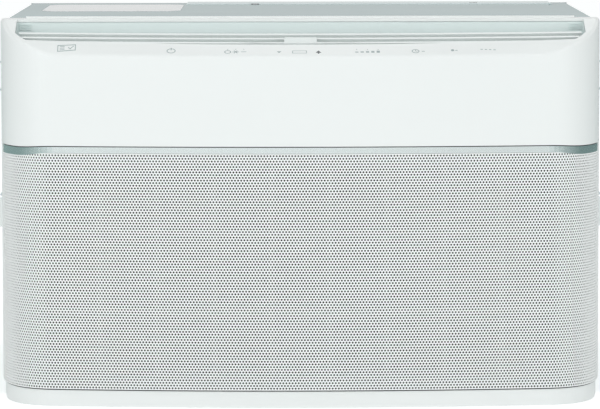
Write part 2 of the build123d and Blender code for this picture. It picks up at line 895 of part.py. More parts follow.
# Cord entry grommet: a sleeve through the sheet with a flange on each side of it
with BuildPart() as cord_grommet:
    flange_radius = sleeve_radius + cord_flange
    inner_x = inside_half - cord_flange_thickness
    outer_x = cabinet_half + cord_flange_thickness
    rod_x(inner_x, outer_x, cord_entry_back, cord_entry_z, sleeve_radius)
    rod_x(inner_x, inside_half, cord_entry_back, cord_entry_z, flange_radius)
    rod_x(cabinet_half, outer_x, cord_entry_back, cord_entry_z, flange_radius)
    rod_x(inner_x, outer_x, cord_entry_back, cord_entry_z, cord_bore_radius, mode=Mode.SUBTRACT)
export(cord_grommet, "cord_grommet")

# Channels on the cabinet's sides that hold the window curtains
with BuildPart() as curtain_brackets:
    for side in (-1, 1):
        near, far = sorted((side * cabinet_half, side * (cabinet_half + bracket_reach)))
        for z0 in bracket_heights:
            z1 = z0 + bracket_height
            slab(near, far, bracket_back, bracket_back + bracket_length, z0, z1)
            well = sorted((side * (cabinet_half + bracket_sheet), side * (half_width + bracket_reach)))
            slab(
                *well,
                bracket_back - gap,
                bracket_back + bracket_length + gap,
                z0 + bracket_sheet,
                z1 - bracket_sheet,
                mode=Mode.SUBTRACT,
            )
    for z0 in bracket_heights:
        for back in (bracket_back + bracket_height / 2, bracket_back + bracket_length - bracket_height / 2):
            z = z0 + bracket_height / 2
            rod_x(-half_width, half_width, back, z, bracket_hole_radius, mode=Mode.SUBTRACT)
export(curtain_brackets, "curtain_brackets")

# Base pan: floor, turned-up flanges, stiffening beads, compressor studs, drain and sill holes
pan_half = inside_half - gap
pan_front = housing_depth + gap
pan_rear = cabinet_rear - sheet - gap
foot_places = [
    (
        compressor_x + foot_circle * cos(radians(angle)),
        compressor_back + foot_circle * sin(radians(angle)),
    )
    for angle in (0, 120, 240)
]
grommet_top = compressor_bottom - foot_plate * 2
with BuildPart() as base_pan:
    slab(-pan_half, pan_half, pan_front, pan_rear, 0, pan_flange)
    slab(
        -pan_half + pan_sheet,
        pan_half - pan_sheet,
        cabinet_front + pan_sheet,
        pan_rear - pan_sheet,
        pan_sheet,
        pan_flange,
        mode=Mode.SUBTRACT,
    )
    slab(
        -pan_half,
        pan_half,
        pan_front,
        cabinet_front + pan_sheet,
        skirt_height,
        pan_flange,
        mode=Mode.SUBTRACT,
    )
    for x in pan_bead_xs:
        bead_rear = pan_bead_front + pan_bead_length
        bead_top = pan_sheet + pan_bead_height
        slab(
            x - pan_bead_width / 2,
            x + pan_bead_width / 2,
            pan_bead_front,
            bead_rear,
            pan_sheet,
            bead_top,
        )
    for x, back in foot_places:
        post(x, back, pan_sheet, grommet_top + foot_plate + nut_height + 2, stud_radius)
    post(drain_x, drain_back, pan_sheet, pan_sheet + drain_collar, drain_radius + drain_collar)
    post(drain_x, drain_back, 0, pan_sheet + drain_collar, drain_radius, mode=Mode.SUBTRACT)
    for x in (-sill_hole_pitch / 2, sill_hole_pitch / 2):
        post(x, sill_hole_back, 0, pan_sheet, sill_hole_radius, mode=Mode.SUBTRACT)
    for back in side_screw_backs:
        rod_x(-half_width, half_width, back, side_screw_z, screw_hole_radius, mode=Mode.SUBTRACT)
export(base_pan, "base_pan")

# Rear guard: frame and bars over the condenser
with BuildPart() as rear_guard:
    slab(-cabinet_half, cabinet_half, cabinet_rear, depth, wrap_bottom, cabinet_top)
    opening_half = cabinet_half - guard_frame
    slab(
        -opening_half,
        opening_half,
        cabinet_rear,
        depth,
        wrap_bottom + guard_frame,
        cabinet_top - guard_frame,
        mode=Mode.SUBTRACT,
    )
    bar_pitch = 2 * opening_half / (guard_bar_count + 1)
    for i in range(guard_bar_count):
        x = -opening_half + (i + 1) * bar_pitch
        slab(x - guard_bar / 2, x + guard_bar / 2, depth - guard_bar, depth, wrap_bottom, cabinet_top)
    for i in range(1, 5):
        z = wrap_bottom + i * (cabinet_top - wrap_bottom) / 5
        slab(
            -opening_half,
            opening_half,
            cabinet_rear,
            depth - guard_bar / 2,
            z - guard_bar / 2,
            z + guard_bar / 2,
        )
export(rear_guard, "rear_guard")

# Screws that hold the wrap to the pan and to the shroud
with BuildPart() as cabinet_screws:
    for side in (-1, 1):
        for back in side_screw_backs:
            face = side * cabinet_half
            rod_x(face, face + side * screw_head, back, side_screw_z, screw_head_radius)
            rod_x(face - side * screw_shank, face, back, side_screw_z, screw_shank_radius)
    for x, back in top_screw_places:
        top = cabinet_top + emboss_rise
        post(x, back, top, top + screw_head, screw_head_radius)
        post(x, back, top - screw_shank, top, screw_shank_radius)
export(cabinet_screws, "cabinet_screws")


def finned_coil(left, right, front, thick, bottom, top, foot_z, rows):
    """A block of fins on rows of tubes, between two end plates that reach down to their footing."""
    span = right - left - 2 * end_plate
    fin_count = int(span / fin_pitch)
    middle_z = (bottom + top) / 2
    centre = ((left + right) / 2, at(front + thick / 2), middle_z)
    with Locations(centre):
        with GridLocations(fin_pitch, 1, fin_count, 1):
            Box(fin_thickness, thick, top - bottom)
    for x in (left, right - end_plate):
        slab(x, x + end_plate, front, front + thick, foot_z, top)
    tube_count = int((top - bottom) / tube_pitch)
    across = Plane(origin=centre, x_dir=(0, 1, 0), z_dir=(1, 0, 0))
    with Locations(across):
        with GridLocations(thick / rows, tube_pitch, rows, tube_count):
            Cylinder(tube_radius, right - left)


# Evaporator behind the filters, standing in the drain tray
evaporator_back = housing_depth + coil_clear
evaporator_left = window_left + 8
tray_bottom = pan_sheet + gap
with BuildPart() as drain_tray:
    tray_left = evaporator_left - tray_wall - 2
    tray_right = evaporator_right + tray_wall + 2
    tray_front = evaporator_back - tray_wall - 2
    tray_rear = evaporator_back + evaporator_depth + 2
    slab(tray_left, tray_right, tray_front, tray_rear, tray_bottom, tray_bottom + tray_height)
    slab(
        tray_left + tray_wall,
        tray_right - tray_wall,
        tray_front + tray_wall,
        tray_rear - tray_wall,
        tray_bottom + tray_wall,
        tray_bottom + tray_height,
        mode=Mode.SUBTRACT,
    )
export(drain_tray, "drain_tray")

with BuildPart() as evaporator_coil:
    finned_coil(
        evaporator_left,
        evaporator_right,
        evaporator_back,
        evaporator_depth,
        evaporator_bottom,
        evaporator_top,
        tray_bottom + tray_wall + gap,
        2,
    )
export(evaporator_coil, "evaporator_coil")

# Blower scroll behind the outlet duct
scroll_back = duct_rear + gap
scroll_rear = scroll_back + scroll_depth
scroll_top = duct_roof_z + duct_wall
with BuildPart() as blower_scroll:
    rod_y(shaft_x, shaft_z, scroll_back, scroll_rear, scroll_radius)
    slab(scroll_left, scroll_right, scroll_back, scroll_rear, shaft_z, scroll_top)
    inner_back = scroll_back + scroll_wall
    inner_rear = scroll_rear - scroll_wall
    inner_top = scroll_top - scroll_wall
    rod_y(shaft_x, shaft_z, inner_back, inner_rear, scroll_radius - scroll_wall, mode=Mode.SUBTRACT)
    slab(throat_left, throat_right, inner_back, inner_rear, shaft_z, inner_top, mode=Mode.SUBTRACT)
    slab(
        throat_left, throat_right, scroll_back, inner_back, duct_floor_z, duct_roof_z, mode=Mode.SUBTRACT
    )
    rod_y(shaft_x, shaft_z, scroll_back, inner_back, scroll_inlet_radius, mode=Mode.SUBTRACT)
    rod_y(shaft_x, shaft_z, inner_rear, scroll_rear, hub_radius + 6, mode=Mode.SUBTRACT)
export(blower_scroll, "blower_scroll")

# Bulkhead between the room side and the window side
bulkhead_back = scroll_rear + gap
bulkhead_rear = bulkhead_back + bulkhead_sheet
suction_x = evaporator_right + suction_offset
capillary_x = suction_x + capillary_offset
with BuildPart() as bulkhead:
    bulkhead_half = pan_half - pan_sheet - gap
    slab(
        -bulkhead_half,
        bulkhead_half,
        bulkhead_back,
        bulkhead_rear,
        pan_sheet + gap,
        cabinet_top - sheet - gap,
    )
    rod_y(shaft_x, shaft_z, bulkhead_back, bulkhead_rear, hub_radius + 6, mode=Mode.SUBTRACT)
    pipe_hole_x = (suction_x + capillary_x) / 2
    pipe_hole_z = (suction_z + capillary_z) / 2
    rod_y(
        pipe_hole_x, pipe_hole_z, bulkhead_back, bulkhead_rear, bulkhead_hole_radius, mode=Mode.SUBTRACT
    )
export(bulkhead, "bulkhead")

# Control box at the right of the evaporator, with its board and the run capacitor
control_left = evaporator_right + control_clear
control_right = inside_half - 6
control_rear = bulkhead_back - gap
board_rear = control_rear - control_wall - main_board_standoff
board_top = control_top - control_wall - main_board_margin
board_bottom = board_top - main_board_height
with BuildPart() as control_box:
    slab(control_left, control_right, evaporator_back, control_rear, control_bottom, control_top)
    slab(
        control_left + control_wall,
        control_right - control_wall,
        evaporator_back,
        control_rear - control_wall,
        control_bottom + control_wall,
        control_top - control_wall,
        mode=Mode.SUBTRACT,
    )
    for x in (control_left + 2 * main_board_margin, control_right - 2 * main_board_margin):
        for z in (board_bottom + main_board_margin, board_top - main_board_margin):
            rod_y(x, z, board_rear, control_rear - control_wall, post_radius)
export(control_box, "control_box")

with BuildPart() as main_board:
    board_left = control_left + main_board_margin
    board_right = control_right - main_board_margin
    board_front = board_rear - main_board_thickness
    slab(board_left, board_right, board_front, board_rear, board_bottom, board_top)
    for x, z, reach, tall in board_parts:
        part_x = board_left + x * (board_right - board_left)
        part_z = board_bottom + z * (board_top - board_bottom)
        slab(
            part_x - board_part_width / 2,
            part_x + board_part_width / 2,
            board_front - reach,
            board_front,
            part_z - tall / 2,
            part_z + tall / 2,
        )
export(main_board, "main_board")

with BuildPart() as run_capacitor:
    can_x = (control_left + control_right) / 2
    can_back = control_rear - control_wall - gap - capacitor_radius
    can_bottom = control_bottom + control_wall
    post(can_x, can_back, can_bottom, can_bottom + capacitor_height, capacitor_radius)
    fillet(run_capacitor.edges().group_by(Axis.Z)[-1], capacitor_crown)
    for side in (-1, 1):
        post(
            can_x + side * terminal_spread,
            can_back,
            can_bottom + capacitor_height,
            can_bottom + capacitor_height + terminal_height,
            terminal_radius,
        )
export(run_capacitor, "run_capacitor")

# Fan motor on its upright bracket
bracket_back_face = bulkhead_rear + motor_clear
motor_back = bracket_back_face + motor_plate + gap
motor_rear = motor_back + motor_length
with BuildPart() as fan_motor:
    rod_y(shaft_x, shaft_z, motor_back, motor_rear, motor_radius)
    fillet(fan_motor.edges().filter_by(GeomType.CIRCLE), motor_edge)
    rod_y(shaft_x, shaft_z, motor_back - motor_boss, motor_rear + motor_boss, motor_boss_radius)
    rod_y(
        shaft_x,
        shaft_z,
        motor_back - motor_boss,
        motor_rear + motor_boss,
        shaft_radius + running,
        mode=Mode.SUBTRACT,
    )
export(fan_motor, "fan_motor")

with BuildPart() as motor_bracket:
    bracket_half = motor_radius + motor_bracket_margin
    bracket_foot = pan_sheet + gap
    bracket_front = bracket_back_face
    slab(
        shaft_x - bracket_half,
        shaft_x + bracket_half,
        bracket_front,
        bracket_front + motor_plate,
        bracket_foot,
        shaft_z + motor_radius,
    )
    fillet(motor_bracket.edges().filter_by(Axis.Y).group_by(Axis.Z)[-1], motor_bracket_round)
    slab(
        shaft_x - bracket_half,
        shaft_x + bracket_half,
        bracket_front,
        bracket_front + motor_bracket_foot,
        bracket_foot,
        bracket_foot + motor_plate,
    )
    bracket_rear = bracket_front + motor_plate
    rod_y(shaft_x, shaft_z, bracket_front, bracket_rear, motor_boss_radius + gap, mode=Mode.SUBTRACT)
export(motor_bracket, "motor_bracket")

# Rotor: one shaft carries the blower wheel on the room side and the fan on the window side
blower_back = scroll_back + (scroll_depth - blower_width) / 2
fan_back = motor_rear + motor_boss + fan_clear
fan_rear = fan_back + fan_hub_length
with BuildPart() as motor_shaft:
    rod_y(shaft_x, shaft_z, blower_back + blower_width / 2, fan_rear + 4, shaft_radius)
    chamfer(motor_shaft.edges().filter_by(GeomType.CIRCLE), 0.6)
export(motor_shaft, "motor_shaft")

bore = shaft_radius + running
with BuildPart() as blower_wheel:
    blade_middle = blower_radius - blower_blade_depth / 2
    with BuildSketch(facing(shaft_x, blower_back, shaft_z)):
        with PolarLocations(blade_middle, blower_blades):
            Rectangle(blower_blade_depth, blower_blade, rotation=35)
    extrude(amount=blower_width - blower_plate)
    rod_y(
        shaft_x,
        shaft_z,
        blower_back + blower_width - blower_plate,
        blower_back + blower_width,
        blower_radius,
    )
    rod_y(shaft_x, shaft_z, blower_back + blower_width / 2 + 2, blower_back + blower_width, hub_radius)
    with BuildSketch(facing(shaft_x, blower_back, shaft_z)):
        Circle(blower_radius)
        Circle(blower_radius - blower_blade_depth / 2, mode=Mode.SUBTRACT)
    extrude(amount=blower_plate)
    rod_y(shaft_x, shaft_z, blower_back, blower_back + blower_width, bore, mode=Mode.SUBTRACT)
export(blower_wheel, "blower_wheel")

with BuildPart() as axial_fan:
    rod_y(shaft_x, shaft_z, fan_back, fan_rear, fan_hub_radius)
    blade_reach = fan_radius - fan_hub_radius + 6
    for i in range(fan_blades):
        spin = Location((shaft_x, at((fan_back + fan_rear) / 2), shaft_z), (0, i * 360 / fan_blades, 0))
        tilt = Location((fan_hub_radius - 6 + blade_reach / 2, 0, 0), (90 - fan_blade_angle, 0, 0))
        with Locations(spin * tilt):
            Box(blade_reach, 78, fan_blade)
    with BuildSketch(facing(shaft_x, fan_rear - slinger_width, shaft_z)):
        Circle(slinger_radius)
        Circle(fan_radius - 3, mode=Mode.SUBTRACT)
    extrude(amount=slinger_width)
    with BuildSketch(facing(shaft_x, fan_back - 10, shaft_z)):
        Circle(slinger_radius)
    extrude(amount=fan_hub_length + 20, mode=Mode.INTERSECT)
    rod_y(shaft_x, shaft_z, fan_back, fan_rear, bore, mode=Mode.SUBTRACT)
export(axial_fan, "axial_fan")

# Condenser and the shroud that makes the fan draw through it
condenser_back = depth - guard_depth - condenser_rear_clear - condenser_depth
with BuildPart() as condenser_coil:
    finned_coil(
        -condenser_half,
        condenser_half,
        condenser_back,
        condenser_depth,
        condenser_bottom,
        condenser_top,
        pan_sheet + gap,
        2,
    )
export(condenser_coil, "condenser_coil")

shroud_back = fan_rear + shroud_clear
condenser_middle = condenser_back + condenser_depth / 2
shroud_half = condenser_half + gap + shroud_wall
shroud_top = cabinet_top - sheet - gap
with BuildPart() as fan_shroud:
    shroud_bottom = pan_sheet + gap
    slab(
        -shroud_half,
        shroud_half,
        shroud_back,
        condenser_back + condenser_depth,
        shroud_bottom,
        shroud_top,
    )
    slab(
        -shroud_half + shroud_wall,
        shroud_half - shroud_wall,
        shroud_back + shroud_wall,
        condenser_back + condenser_depth,
        shroud_bottom,
        shroud_top - shroud_wall,
        mode=Mode.SUBTRACT,
    )
    rod_y(
        shaft_x, shaft_z, shroud_back - shroud_ring_depth, shroud_back, shroud_ring_radius + shroud_wall
    )
    rod_y(
        shaft_x,
        shaft_z,
        shroud_back - shroud_ring_depth,
        shroud_back + shroud_wall,
        shroud_ring_radius,
        mode=Mode.SUBTRACT,
    )
    for x, back in top_screw_places:
        post(x, back, shroud_top - shroud_wall, shroud_top, screw_hole_radius, mode=Mode.SUBTRACT)
    for z in (liquid_z, discharge_z):
        rod_x(condenser_half, half_width, condenser_middle, z, pipe_radius + 2 * gap, mode=Mode.SUBTRACT)
export(fan_shroud, "fan_shroud")

# Compressor with its accumulator, standing on rubber grommets over the pan's studs
compressor_top = compressor_bottom + compressor_height
accumulator_x = compressor_x - accumulator_offset
accumulator_bottom = compressor_bottom + 40
accumulator_top = accumulator_bottom + accumulator_height
elbow_z = accumulator_bottom - 2 * pipe_bend
with BuildPart() as compressor:
    post(compressor_x, compressor_back, compressor_bottom, compressor_top, compressor_radius)
    fillet(compressor.edges().group_by(Axis.Z)[-1], compressor_crown)
    fillet(compressor.edges().group_by(Axis.Z)[0], compressor_crown / 2)
    post(compressor_x, compressor_back, grommet_top, compressor_bottom + 2, compressor_radius * 0.7)
    with BuildSketch(Plane.XY.offset(grommet_top)):
        for x, back in foot_places:
            with Locations((x, at(back))):
                Circle(foot_radius)
        make_hull()
        for x, back in foot_places:
            with Locations((x, at(back))):
                Circle(stud_radius + gap, mode=Mode.SUBTRACT)
    extrude(amount=foot_plate)
    post(accumulator_x, compressor_back, accumulator_bottom, accumulator_top, accumulator_radius)
    strap_z = (accumulator_bottom + accumulator_top) / 2
    slab(accumulator_x, compressor_x, compressor_back - 8, compressor_back + 8, strap_z - 6, strap_z + 6)
    with BuildLine():
        FilletPolyline(
            (accumulator_x, at(compressor_back), accumulator_bottom + 2),
            (accumulator_x, at(compressor_back), elbow_z),
            (compressor_x - compressor_radius + 4, at(compressor_back), elbow_z),
            radius=pipe_bend,
        )
    elbow_top = (accumulator_x, at(compressor_back), accumulator_bottom + 2)
    with BuildSketch(Plane(origin=elbow_top, z_dir=(0, 0, -1))):
        Circle(pipe_radius)
    sweep()
export(compressor, "compressor")

with BuildPart() as compressor_grommets:
    for x, back in foot_places:
        post(x, back, pan_sheet, grommet_top, grommet_radius)
        post(x, back, pan_sheet, grommet_top, stud_radius + running, mode=Mode.SUBTRACT)
export(compressor_grommets, "compressor_grommets")

with BuildPart() as compressor_nuts:
    nut_bottom = grommet_top + foot_plate
    for x, back in foot_places:
        with BuildSketch(Plane.XY.offset(nut_bottom)):
            with Locations((x, at(back))):
                RegularPolygon(nut_radius, 6)
                Circle(stud_radius + running, mode=Mode.SUBTRACT)
        extrude(amount=nut_height)
export(compressor_nuts, "compressor_nuts")

with BuildPart() as terminal_cover:
    post(
        compressor_x - cover_offset,
        compressor_back,
        compressor_top,
        compressor_top + cover_height,
        cover_radius,
    )
    fillet(terminal_cover.edges().group_by(Axis.Z)[-1], 4)
export(terminal_cover, "terminal_cover")


def pipe(name, radius, bend, points):
    """A bent tube along straight runs joined by arcs, written as the node of that name."""
    with BuildPart() as tube:
        with BuildLine():
            path = FilletPolyline(*points, radius=bend)
        with BuildSketch(Plane(origin=path @ 0, z_dir=path % 0)):
            Circle(radius)
        sweep()
    export(tube, name)


header_x = condenser_half + header_offset
evaporator_middle = evaporator_back + evaporator_depth / 2
riser_back = bulkhead_rear + 2 * pipe_radius
crossing_z = accumulator_top + 3 * pipe_bend
discharge_x = compressor_x + compressor_radius / 2 - 5
drier_back = shroud_back - drier_radius - shroud_clear
drier_bottom = liquid_z + 4 * pipe_bend
pipe(
    "discharge_pipe",
    pipe_radius,
    pipe_bend / 2,
    [
        (discharge_x, at(compressor_back), compressor_top),
        (discharge_x, at(compressor_back), discharge_z),
        (header_x, at(compressor_back), discharge_z),
        (header_x, at(condenser_middle), discharge_z),
        (condenser_half, at(condenser_middle), discharge_z),
    ],
)
pipe(
    "suction_pipe",
    pipe_radius,
    pipe_bend,
    [
        (evaporator_right, at(evaporator_middle), suction_z),
        (suction_x, at(evaporator_middle), suction_z),
        (suction_x, at(riser_back), suction_z),
        (suction_x, at(riser_back), crossing_z),
        (accumulator_x, at(riser_back), crossing_z),
        (accumulator_x, at(compressor_back), crossing_z),
        (accumulator_x, at(compressor_back), accumulator_top),
    ],
)
pipe(
    "liquid_pipe",
    pipe_radius / 2,
    pipe_bend / 2,
    [
        (condenser_half, at(condenser_middle), liquid_z),
        (header_x, at(condenser_middle), liquid_z),
        (header_x, at(drier_back), liquid_z),
        (header_x, at(drier_back), drier_bottom),
    ],
)
with BuildPart() as filter_drier:
    post(header_x, drier_back, drier_bottom, drier_bottom + drier_length, drier_radius)
    chamfer(filter_drier.edges().filter_by(GeomType.CIRCLE), drier_radius / 2)
export(filter_drier, "filter_drier")
drier_top = drier_bottom + drier_length
pipe(
    "capillary_tube",
    capillary_radius,
    pipe_bend / 2,
    [
        (header_x, at(drier_back), drier_top),
        (header_x, at(drier_back), drier_top + 4 * pipe_bend),
        (header_x, at(riser_back), drier_top + 4 * pipe_bend),
        (capillary_x, at(riser_back), drier_top + 4 * pipe_bend),
        (capillary_x, at(riser_back), capillary_z),
        (capillary_x, at(evaporator_middle), capillary_z),
        (evaporator_right, at(evaporator_middle), capillary_z),
    ],
)
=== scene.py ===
import bmesh
import bpy
import json
import math
import random
from mathutils import Matrix, Vector

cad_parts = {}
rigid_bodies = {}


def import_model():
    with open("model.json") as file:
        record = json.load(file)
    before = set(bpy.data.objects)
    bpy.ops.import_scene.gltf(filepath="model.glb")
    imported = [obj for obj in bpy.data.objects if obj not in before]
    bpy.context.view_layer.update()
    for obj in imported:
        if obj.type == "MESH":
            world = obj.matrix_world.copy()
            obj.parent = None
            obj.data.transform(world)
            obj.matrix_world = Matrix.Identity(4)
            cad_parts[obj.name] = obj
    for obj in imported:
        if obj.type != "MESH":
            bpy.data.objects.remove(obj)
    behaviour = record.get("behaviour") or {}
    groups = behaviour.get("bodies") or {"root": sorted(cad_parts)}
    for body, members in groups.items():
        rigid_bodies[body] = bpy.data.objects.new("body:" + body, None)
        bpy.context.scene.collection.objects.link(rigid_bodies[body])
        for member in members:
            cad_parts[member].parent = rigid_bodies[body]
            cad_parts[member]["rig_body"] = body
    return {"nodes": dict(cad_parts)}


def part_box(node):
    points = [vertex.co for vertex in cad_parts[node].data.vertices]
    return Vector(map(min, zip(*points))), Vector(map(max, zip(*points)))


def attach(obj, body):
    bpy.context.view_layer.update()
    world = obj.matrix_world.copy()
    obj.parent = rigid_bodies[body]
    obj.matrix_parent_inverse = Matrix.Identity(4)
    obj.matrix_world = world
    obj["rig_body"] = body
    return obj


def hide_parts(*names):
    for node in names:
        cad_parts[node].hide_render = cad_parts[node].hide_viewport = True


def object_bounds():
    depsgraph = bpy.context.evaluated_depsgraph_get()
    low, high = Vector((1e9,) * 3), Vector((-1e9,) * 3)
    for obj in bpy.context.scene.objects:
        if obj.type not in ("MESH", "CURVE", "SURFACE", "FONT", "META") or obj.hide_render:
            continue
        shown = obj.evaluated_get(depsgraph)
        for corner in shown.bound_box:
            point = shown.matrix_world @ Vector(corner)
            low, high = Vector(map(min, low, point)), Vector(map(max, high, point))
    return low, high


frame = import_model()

nodes = frame["nodes"]
low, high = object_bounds()
front = low.y
print("frame loaded:", len(nodes), "nodes")

# camera
view = {
    "eye": (-0.011, -4.0055, 0.522), "pitch": 5.044, "roll": 0.091, "turn": -0.165, "lens": 241.1,
    "sensor": 36.0, "nearest": 0.1, "farthest": 100.0,
}


def makeCamera():
    data = bpy.data.cameras.new("camera")
    data.lens = view["lens"]
    data.sensor_width = view["sensor"]
    data.clip_start, data.clip_end = view["nearest"], view["farthest"]
    camera = bpy.data.objects.new("camera", data)
    camera.location = view["eye"]
    turns = (90 - view["pitch"], view["roll"], view["turn"])
    camera.rotation_euler = [math.radians(angle) for angle in turns]
    bpy.context.scene.collection.objects.link(camera)
    bpy.context.scene.camera = camera


# lamps, all turned to one point of the object
lampAim = (0, 0, 0.2)
lamps = {
    "key": {"at": (-0.3, -3.9, 1.5), "size": 2.4, "power": 18.5},
    "fillLeft": {"at": (-3.0, -2.6, 1.2), "size": 2.2, "power": 31.0},
    "fillRight": {"at": (3.0, -2.6, 1.2), "size": 2.2, "power": 29.0},
    "back": {"at": (0.4, 2.8, 2.6), "size": 2.4, "power": 14.0},
}


def makeLamp(name, lamp):
    data = bpy.data.lights.new(name, "AREA")
    data.shape = "SQUARE"
    data.size = lamp["size"]
    data.energy = lamp["power"]
    lampObject = bpy.data.objects.new(name, data)
    lampObject.location = lamp["at"]
    aim = Vector(lampAim) - Vector(lamp["at"])
    lampObject.rotation_euler = aim.to_track_quat("-Z", "Y").to_euler()
    lampObject.visible_camera = False
    bpy.context.scene.collection.objects.link(lampObject)


sky = {
    "ambient": (0.965, 0.985, 0.985), "ambientPower": 0.67, "reflected": 0.98,
    "horizonTone": 0.50, "horizonFrom": 0.055, "horizonTo": 0.125,
}


def makeWorld():
    # white to the camera and through glass; bright in reflections, and darker near the horizon
    world = bpy.data.worlds.new("studio")
    world.use_nodes = True
    tree = world.node_tree
    tree.nodes.clear()
    add, link = tree.nodes.new, tree.links.new
    out, path = add("ShaderNodeOutputWorld"), add("ShaderNodeLightPath")
    plain, lit, glossy = [add("ShaderNodeBackground") for _ in range(3)]
    mixAll, mixGlossy = add("ShaderNodeMixShader"), add("ShaderNodeMixShader")
    where, split = add("ShaderNodeTexCoord"), add("ShaderNodeSeparateXYZ")
    ramp, either = add("ShaderNodeMapRange"), add("ShaderNodeMath")
    plain.inputs["Color"].default_value = (1, 1, 1, 1)
    lit.inputs["Color"].default_value = (*sky["ambient"], 1)
    lit.inputs["Strength"].default_value = sky["ambientPower"]
    ramp.interpolation_type = "SMOOTHSTEP"
    for label, value in (("From Min", "horizonFrom"), ("From Max", "horizonTo"),
                         ("To Min", "horizonTone"), ("To Max", "reflected")):
        ramp.inputs[label].default_value = sky[value]
    either.operation = "MAXIMUM"
    link(where.outputs["Generated"], split.inputs[0])
    link(split.outputs["Z"], ramp.inputs["Value"])
    link(ramp.outputs["Result"], glossy.inputs["Strength"])
    link(path.outputs["Is Glossy Ray"], mixGlossy.inputs["Fac"])
    link(lit.outputs[0], mixGlossy.inputs[1])
    link(glossy.outputs[0], mixGlossy.inputs[2])
    link(path.outputs["Is Camera Ray"], either.inputs[0])
    link(path.outputs["Is Transmission Ray"], either.inputs[1])
    link(either.outputs[0], mixAll.inputs["Fac"])
    link(mixGlossy.outputs[0], mixAll.inputs[1])
    link(plain.outputs[0], mixAll.inputs[2])
    link(mixAll.outputs[0], out.inputs["Surface"])
    bpy.context.scene.world = world


paperRough = 0.95


def stagePlane(name, place, sizes, colour):
    bm = bmesh.new()
    bmesh.ops.create_grid(bm, x_segments=1, y_segments=1, size=0.5,
                          matrix=place @ Matrix.Diagonal((*sizes, 1, 1)))
    mesh = bpy.data.meshes.new(name)
    bm.to_mesh(mesh)
    bm.free()
    material = bpy.data.materials.new(name)
    material.use_nodes = True
    shader = material.node_tree.nodes["Principled BSDF"]
    shader.inputs["Base Color"].default_value = (*colour, 1)
    shader.inputs["Roughness"].default_value = paperRough
    shader.inputs["Specular IOR Level"].default_value = 0.0
    mesh.materials.append(material)
    plane = bpy.data.objects.new(name, mesh)
    bpy.context.scene.collection.objects.link(plane)
    return plane, material.node_tree, shader


floor = {"tone": (0.86, 0.87, 0.87), "size": 60.0, "glow": 0.42, "glint": 0.10}


def makeFloor():
    # the glow carries the paper to white for the camera and in metal, and the shadow stays
    sizes = (floor["size"], floor["size"])
    plane, tree, shader = stagePlane("floor", Matrix.Identity(4), sizes, floor["tone"])
    add, link = tree.nodes.new, tree.links.new
    path, glint, glow = add("ShaderNodeLightPath"), add("ShaderNodeMath"), add("ShaderNodeMath")
    glint.operation, glow.operation = "MULTIPLY", "MULTIPLY_ADD"
    link(path.outputs["Is Glossy Ray"], glint.inputs[0])
    glint.inputs[1].default_value = floor["glint"]
    link(path.outputs["Is Camera Ray"], glow.inputs[0])
    glow.inputs[1].default_value = floor["glow"]
    link(glint.outputs[0], glow.inputs[2])
    shader.inputs["Emission Color"].default_value = (1, 1, 1, 1)
    link(glow.outputs[0], shader.inputs["Emission Strength"])


flag = {
    "away": 1.0, "front": -2.4, "rear": 3.2, "height": 0.3, "lift": 0.002,
    "fadeFrom": -2.4, "fadeTo": -0.1, "light": (0.88, 0.93, 0.93),
    "dark": {"flagLeft": (0.27, 0.37, 0.36), "flagRight": (0.20, 0.28, 0.275)},
}


def makeFlags():
    # low cards at both sides, seen in reflections alone: light in front, dark beside and behind
    middle, length = (flag["front"] + flag["rear"]) / 2, flag["rear"] - flag["front"]
    for side, name in ((-1, "flagLeft"), (1, "flagRight")):
        centre = (side * flag["away"], middle, flag["height"] / 2 + flag["lift"])
        place = Matrix.Translation(centre) @ Matrix.Rotation(math.pi / 2, 4, "Y")
        plane, tree, shader = stagePlane(name, place, (flag["height"], length), (0.0, 0.0, 0.0))
        plane.visible_camera = plane.visible_diffuse = False
        plane.visible_shadow = plane.visible_transmission = False
        add, link = tree.nodes.new, tree.links.new
        split, ramp = add("ShaderNodeSeparateXYZ"), add("ShaderNodeMapRange")
        mix = add("ShaderNodeMix")
        mix.data_type, ramp.interpolation_type = "RGBA", "LINEAR"
        link(add("ShaderNodeTexCoord").outputs["Object"], split.inputs[0])
        link(split.outputs["Y"], ramp.inputs["Value"])
        ramp.inputs["From Min"].default_value = flag["fadeFrom"]
        ramp.inputs["From Max"].default_value = flag["fadeTo"]
        link(ramp.outputs["Result"], mix.inputs["Factor"])
        mix.inputs["A"].default_value = (*flag["light"], 1)
        mix.inputs["B"].default_value = (*flag["dark"][name], 1)
        link(mix.outputs["Result"], shader.inputs["Emission Color"])
        shader.inputs["Emission Strength"].default_value = 1.0


bpy.context.scene.view_settings.view_transform = "Standard"
makeCamera()
makeWorld()
makeFloor()
makeFlags()
for lampName, lampValues in lamps.items():
    makeLamp(lampName, lampValues)
print("studio ready")


# effects: each takes Color, Rough, Tone and its own numbers, and gives Color, Roughness and Height
# scales are per metre, and a swing is how far the noise moves the roughness
mouldGrain = {"broadScale": 5.0, "fineRough": 0.6, "swing": 0.16}
paintSkin = {
    "broadScale": 3.2, "peelRough": 0.4, "speckScale": 4200.0, "speckTone": 0.8, "swing": 0.12,
}
brushLines = {"broadScale": 9.0, "lineRough": 0.7, "broadSwing": 0.06, "swing": 0.30}
spangle = {"hazeScale": 14.0, "swing": 0.22}


def startGroup(name, numbers):
    group = bpy.data.node_groups.new(name, "ShaderNodeTree")
    face = group.interface
    face.new_socket(name="Color", in_out="INPUT", socket_type="NodeSocketColor")
    for label in ("Rough", "Tone", *numbers):
        face.new_socket(name=label, in_out="INPUT", socket_type="NodeSocketFloat")
    face.new_socket(name="Color", in_out="OUTPUT", socket_type="NodeSocketColor")
    face.new_socket(name="Roughness", in_out="OUTPUT", socket_type="NodeSocketFloat")
    face.new_socket(name="Height", in_out="OUTPUT", socket_type="NodeSocketFloat")
    add = group.nodes.new
    return group, add, group.links.new, add("NodeGroupInput"), add("NodeGroupOutput")


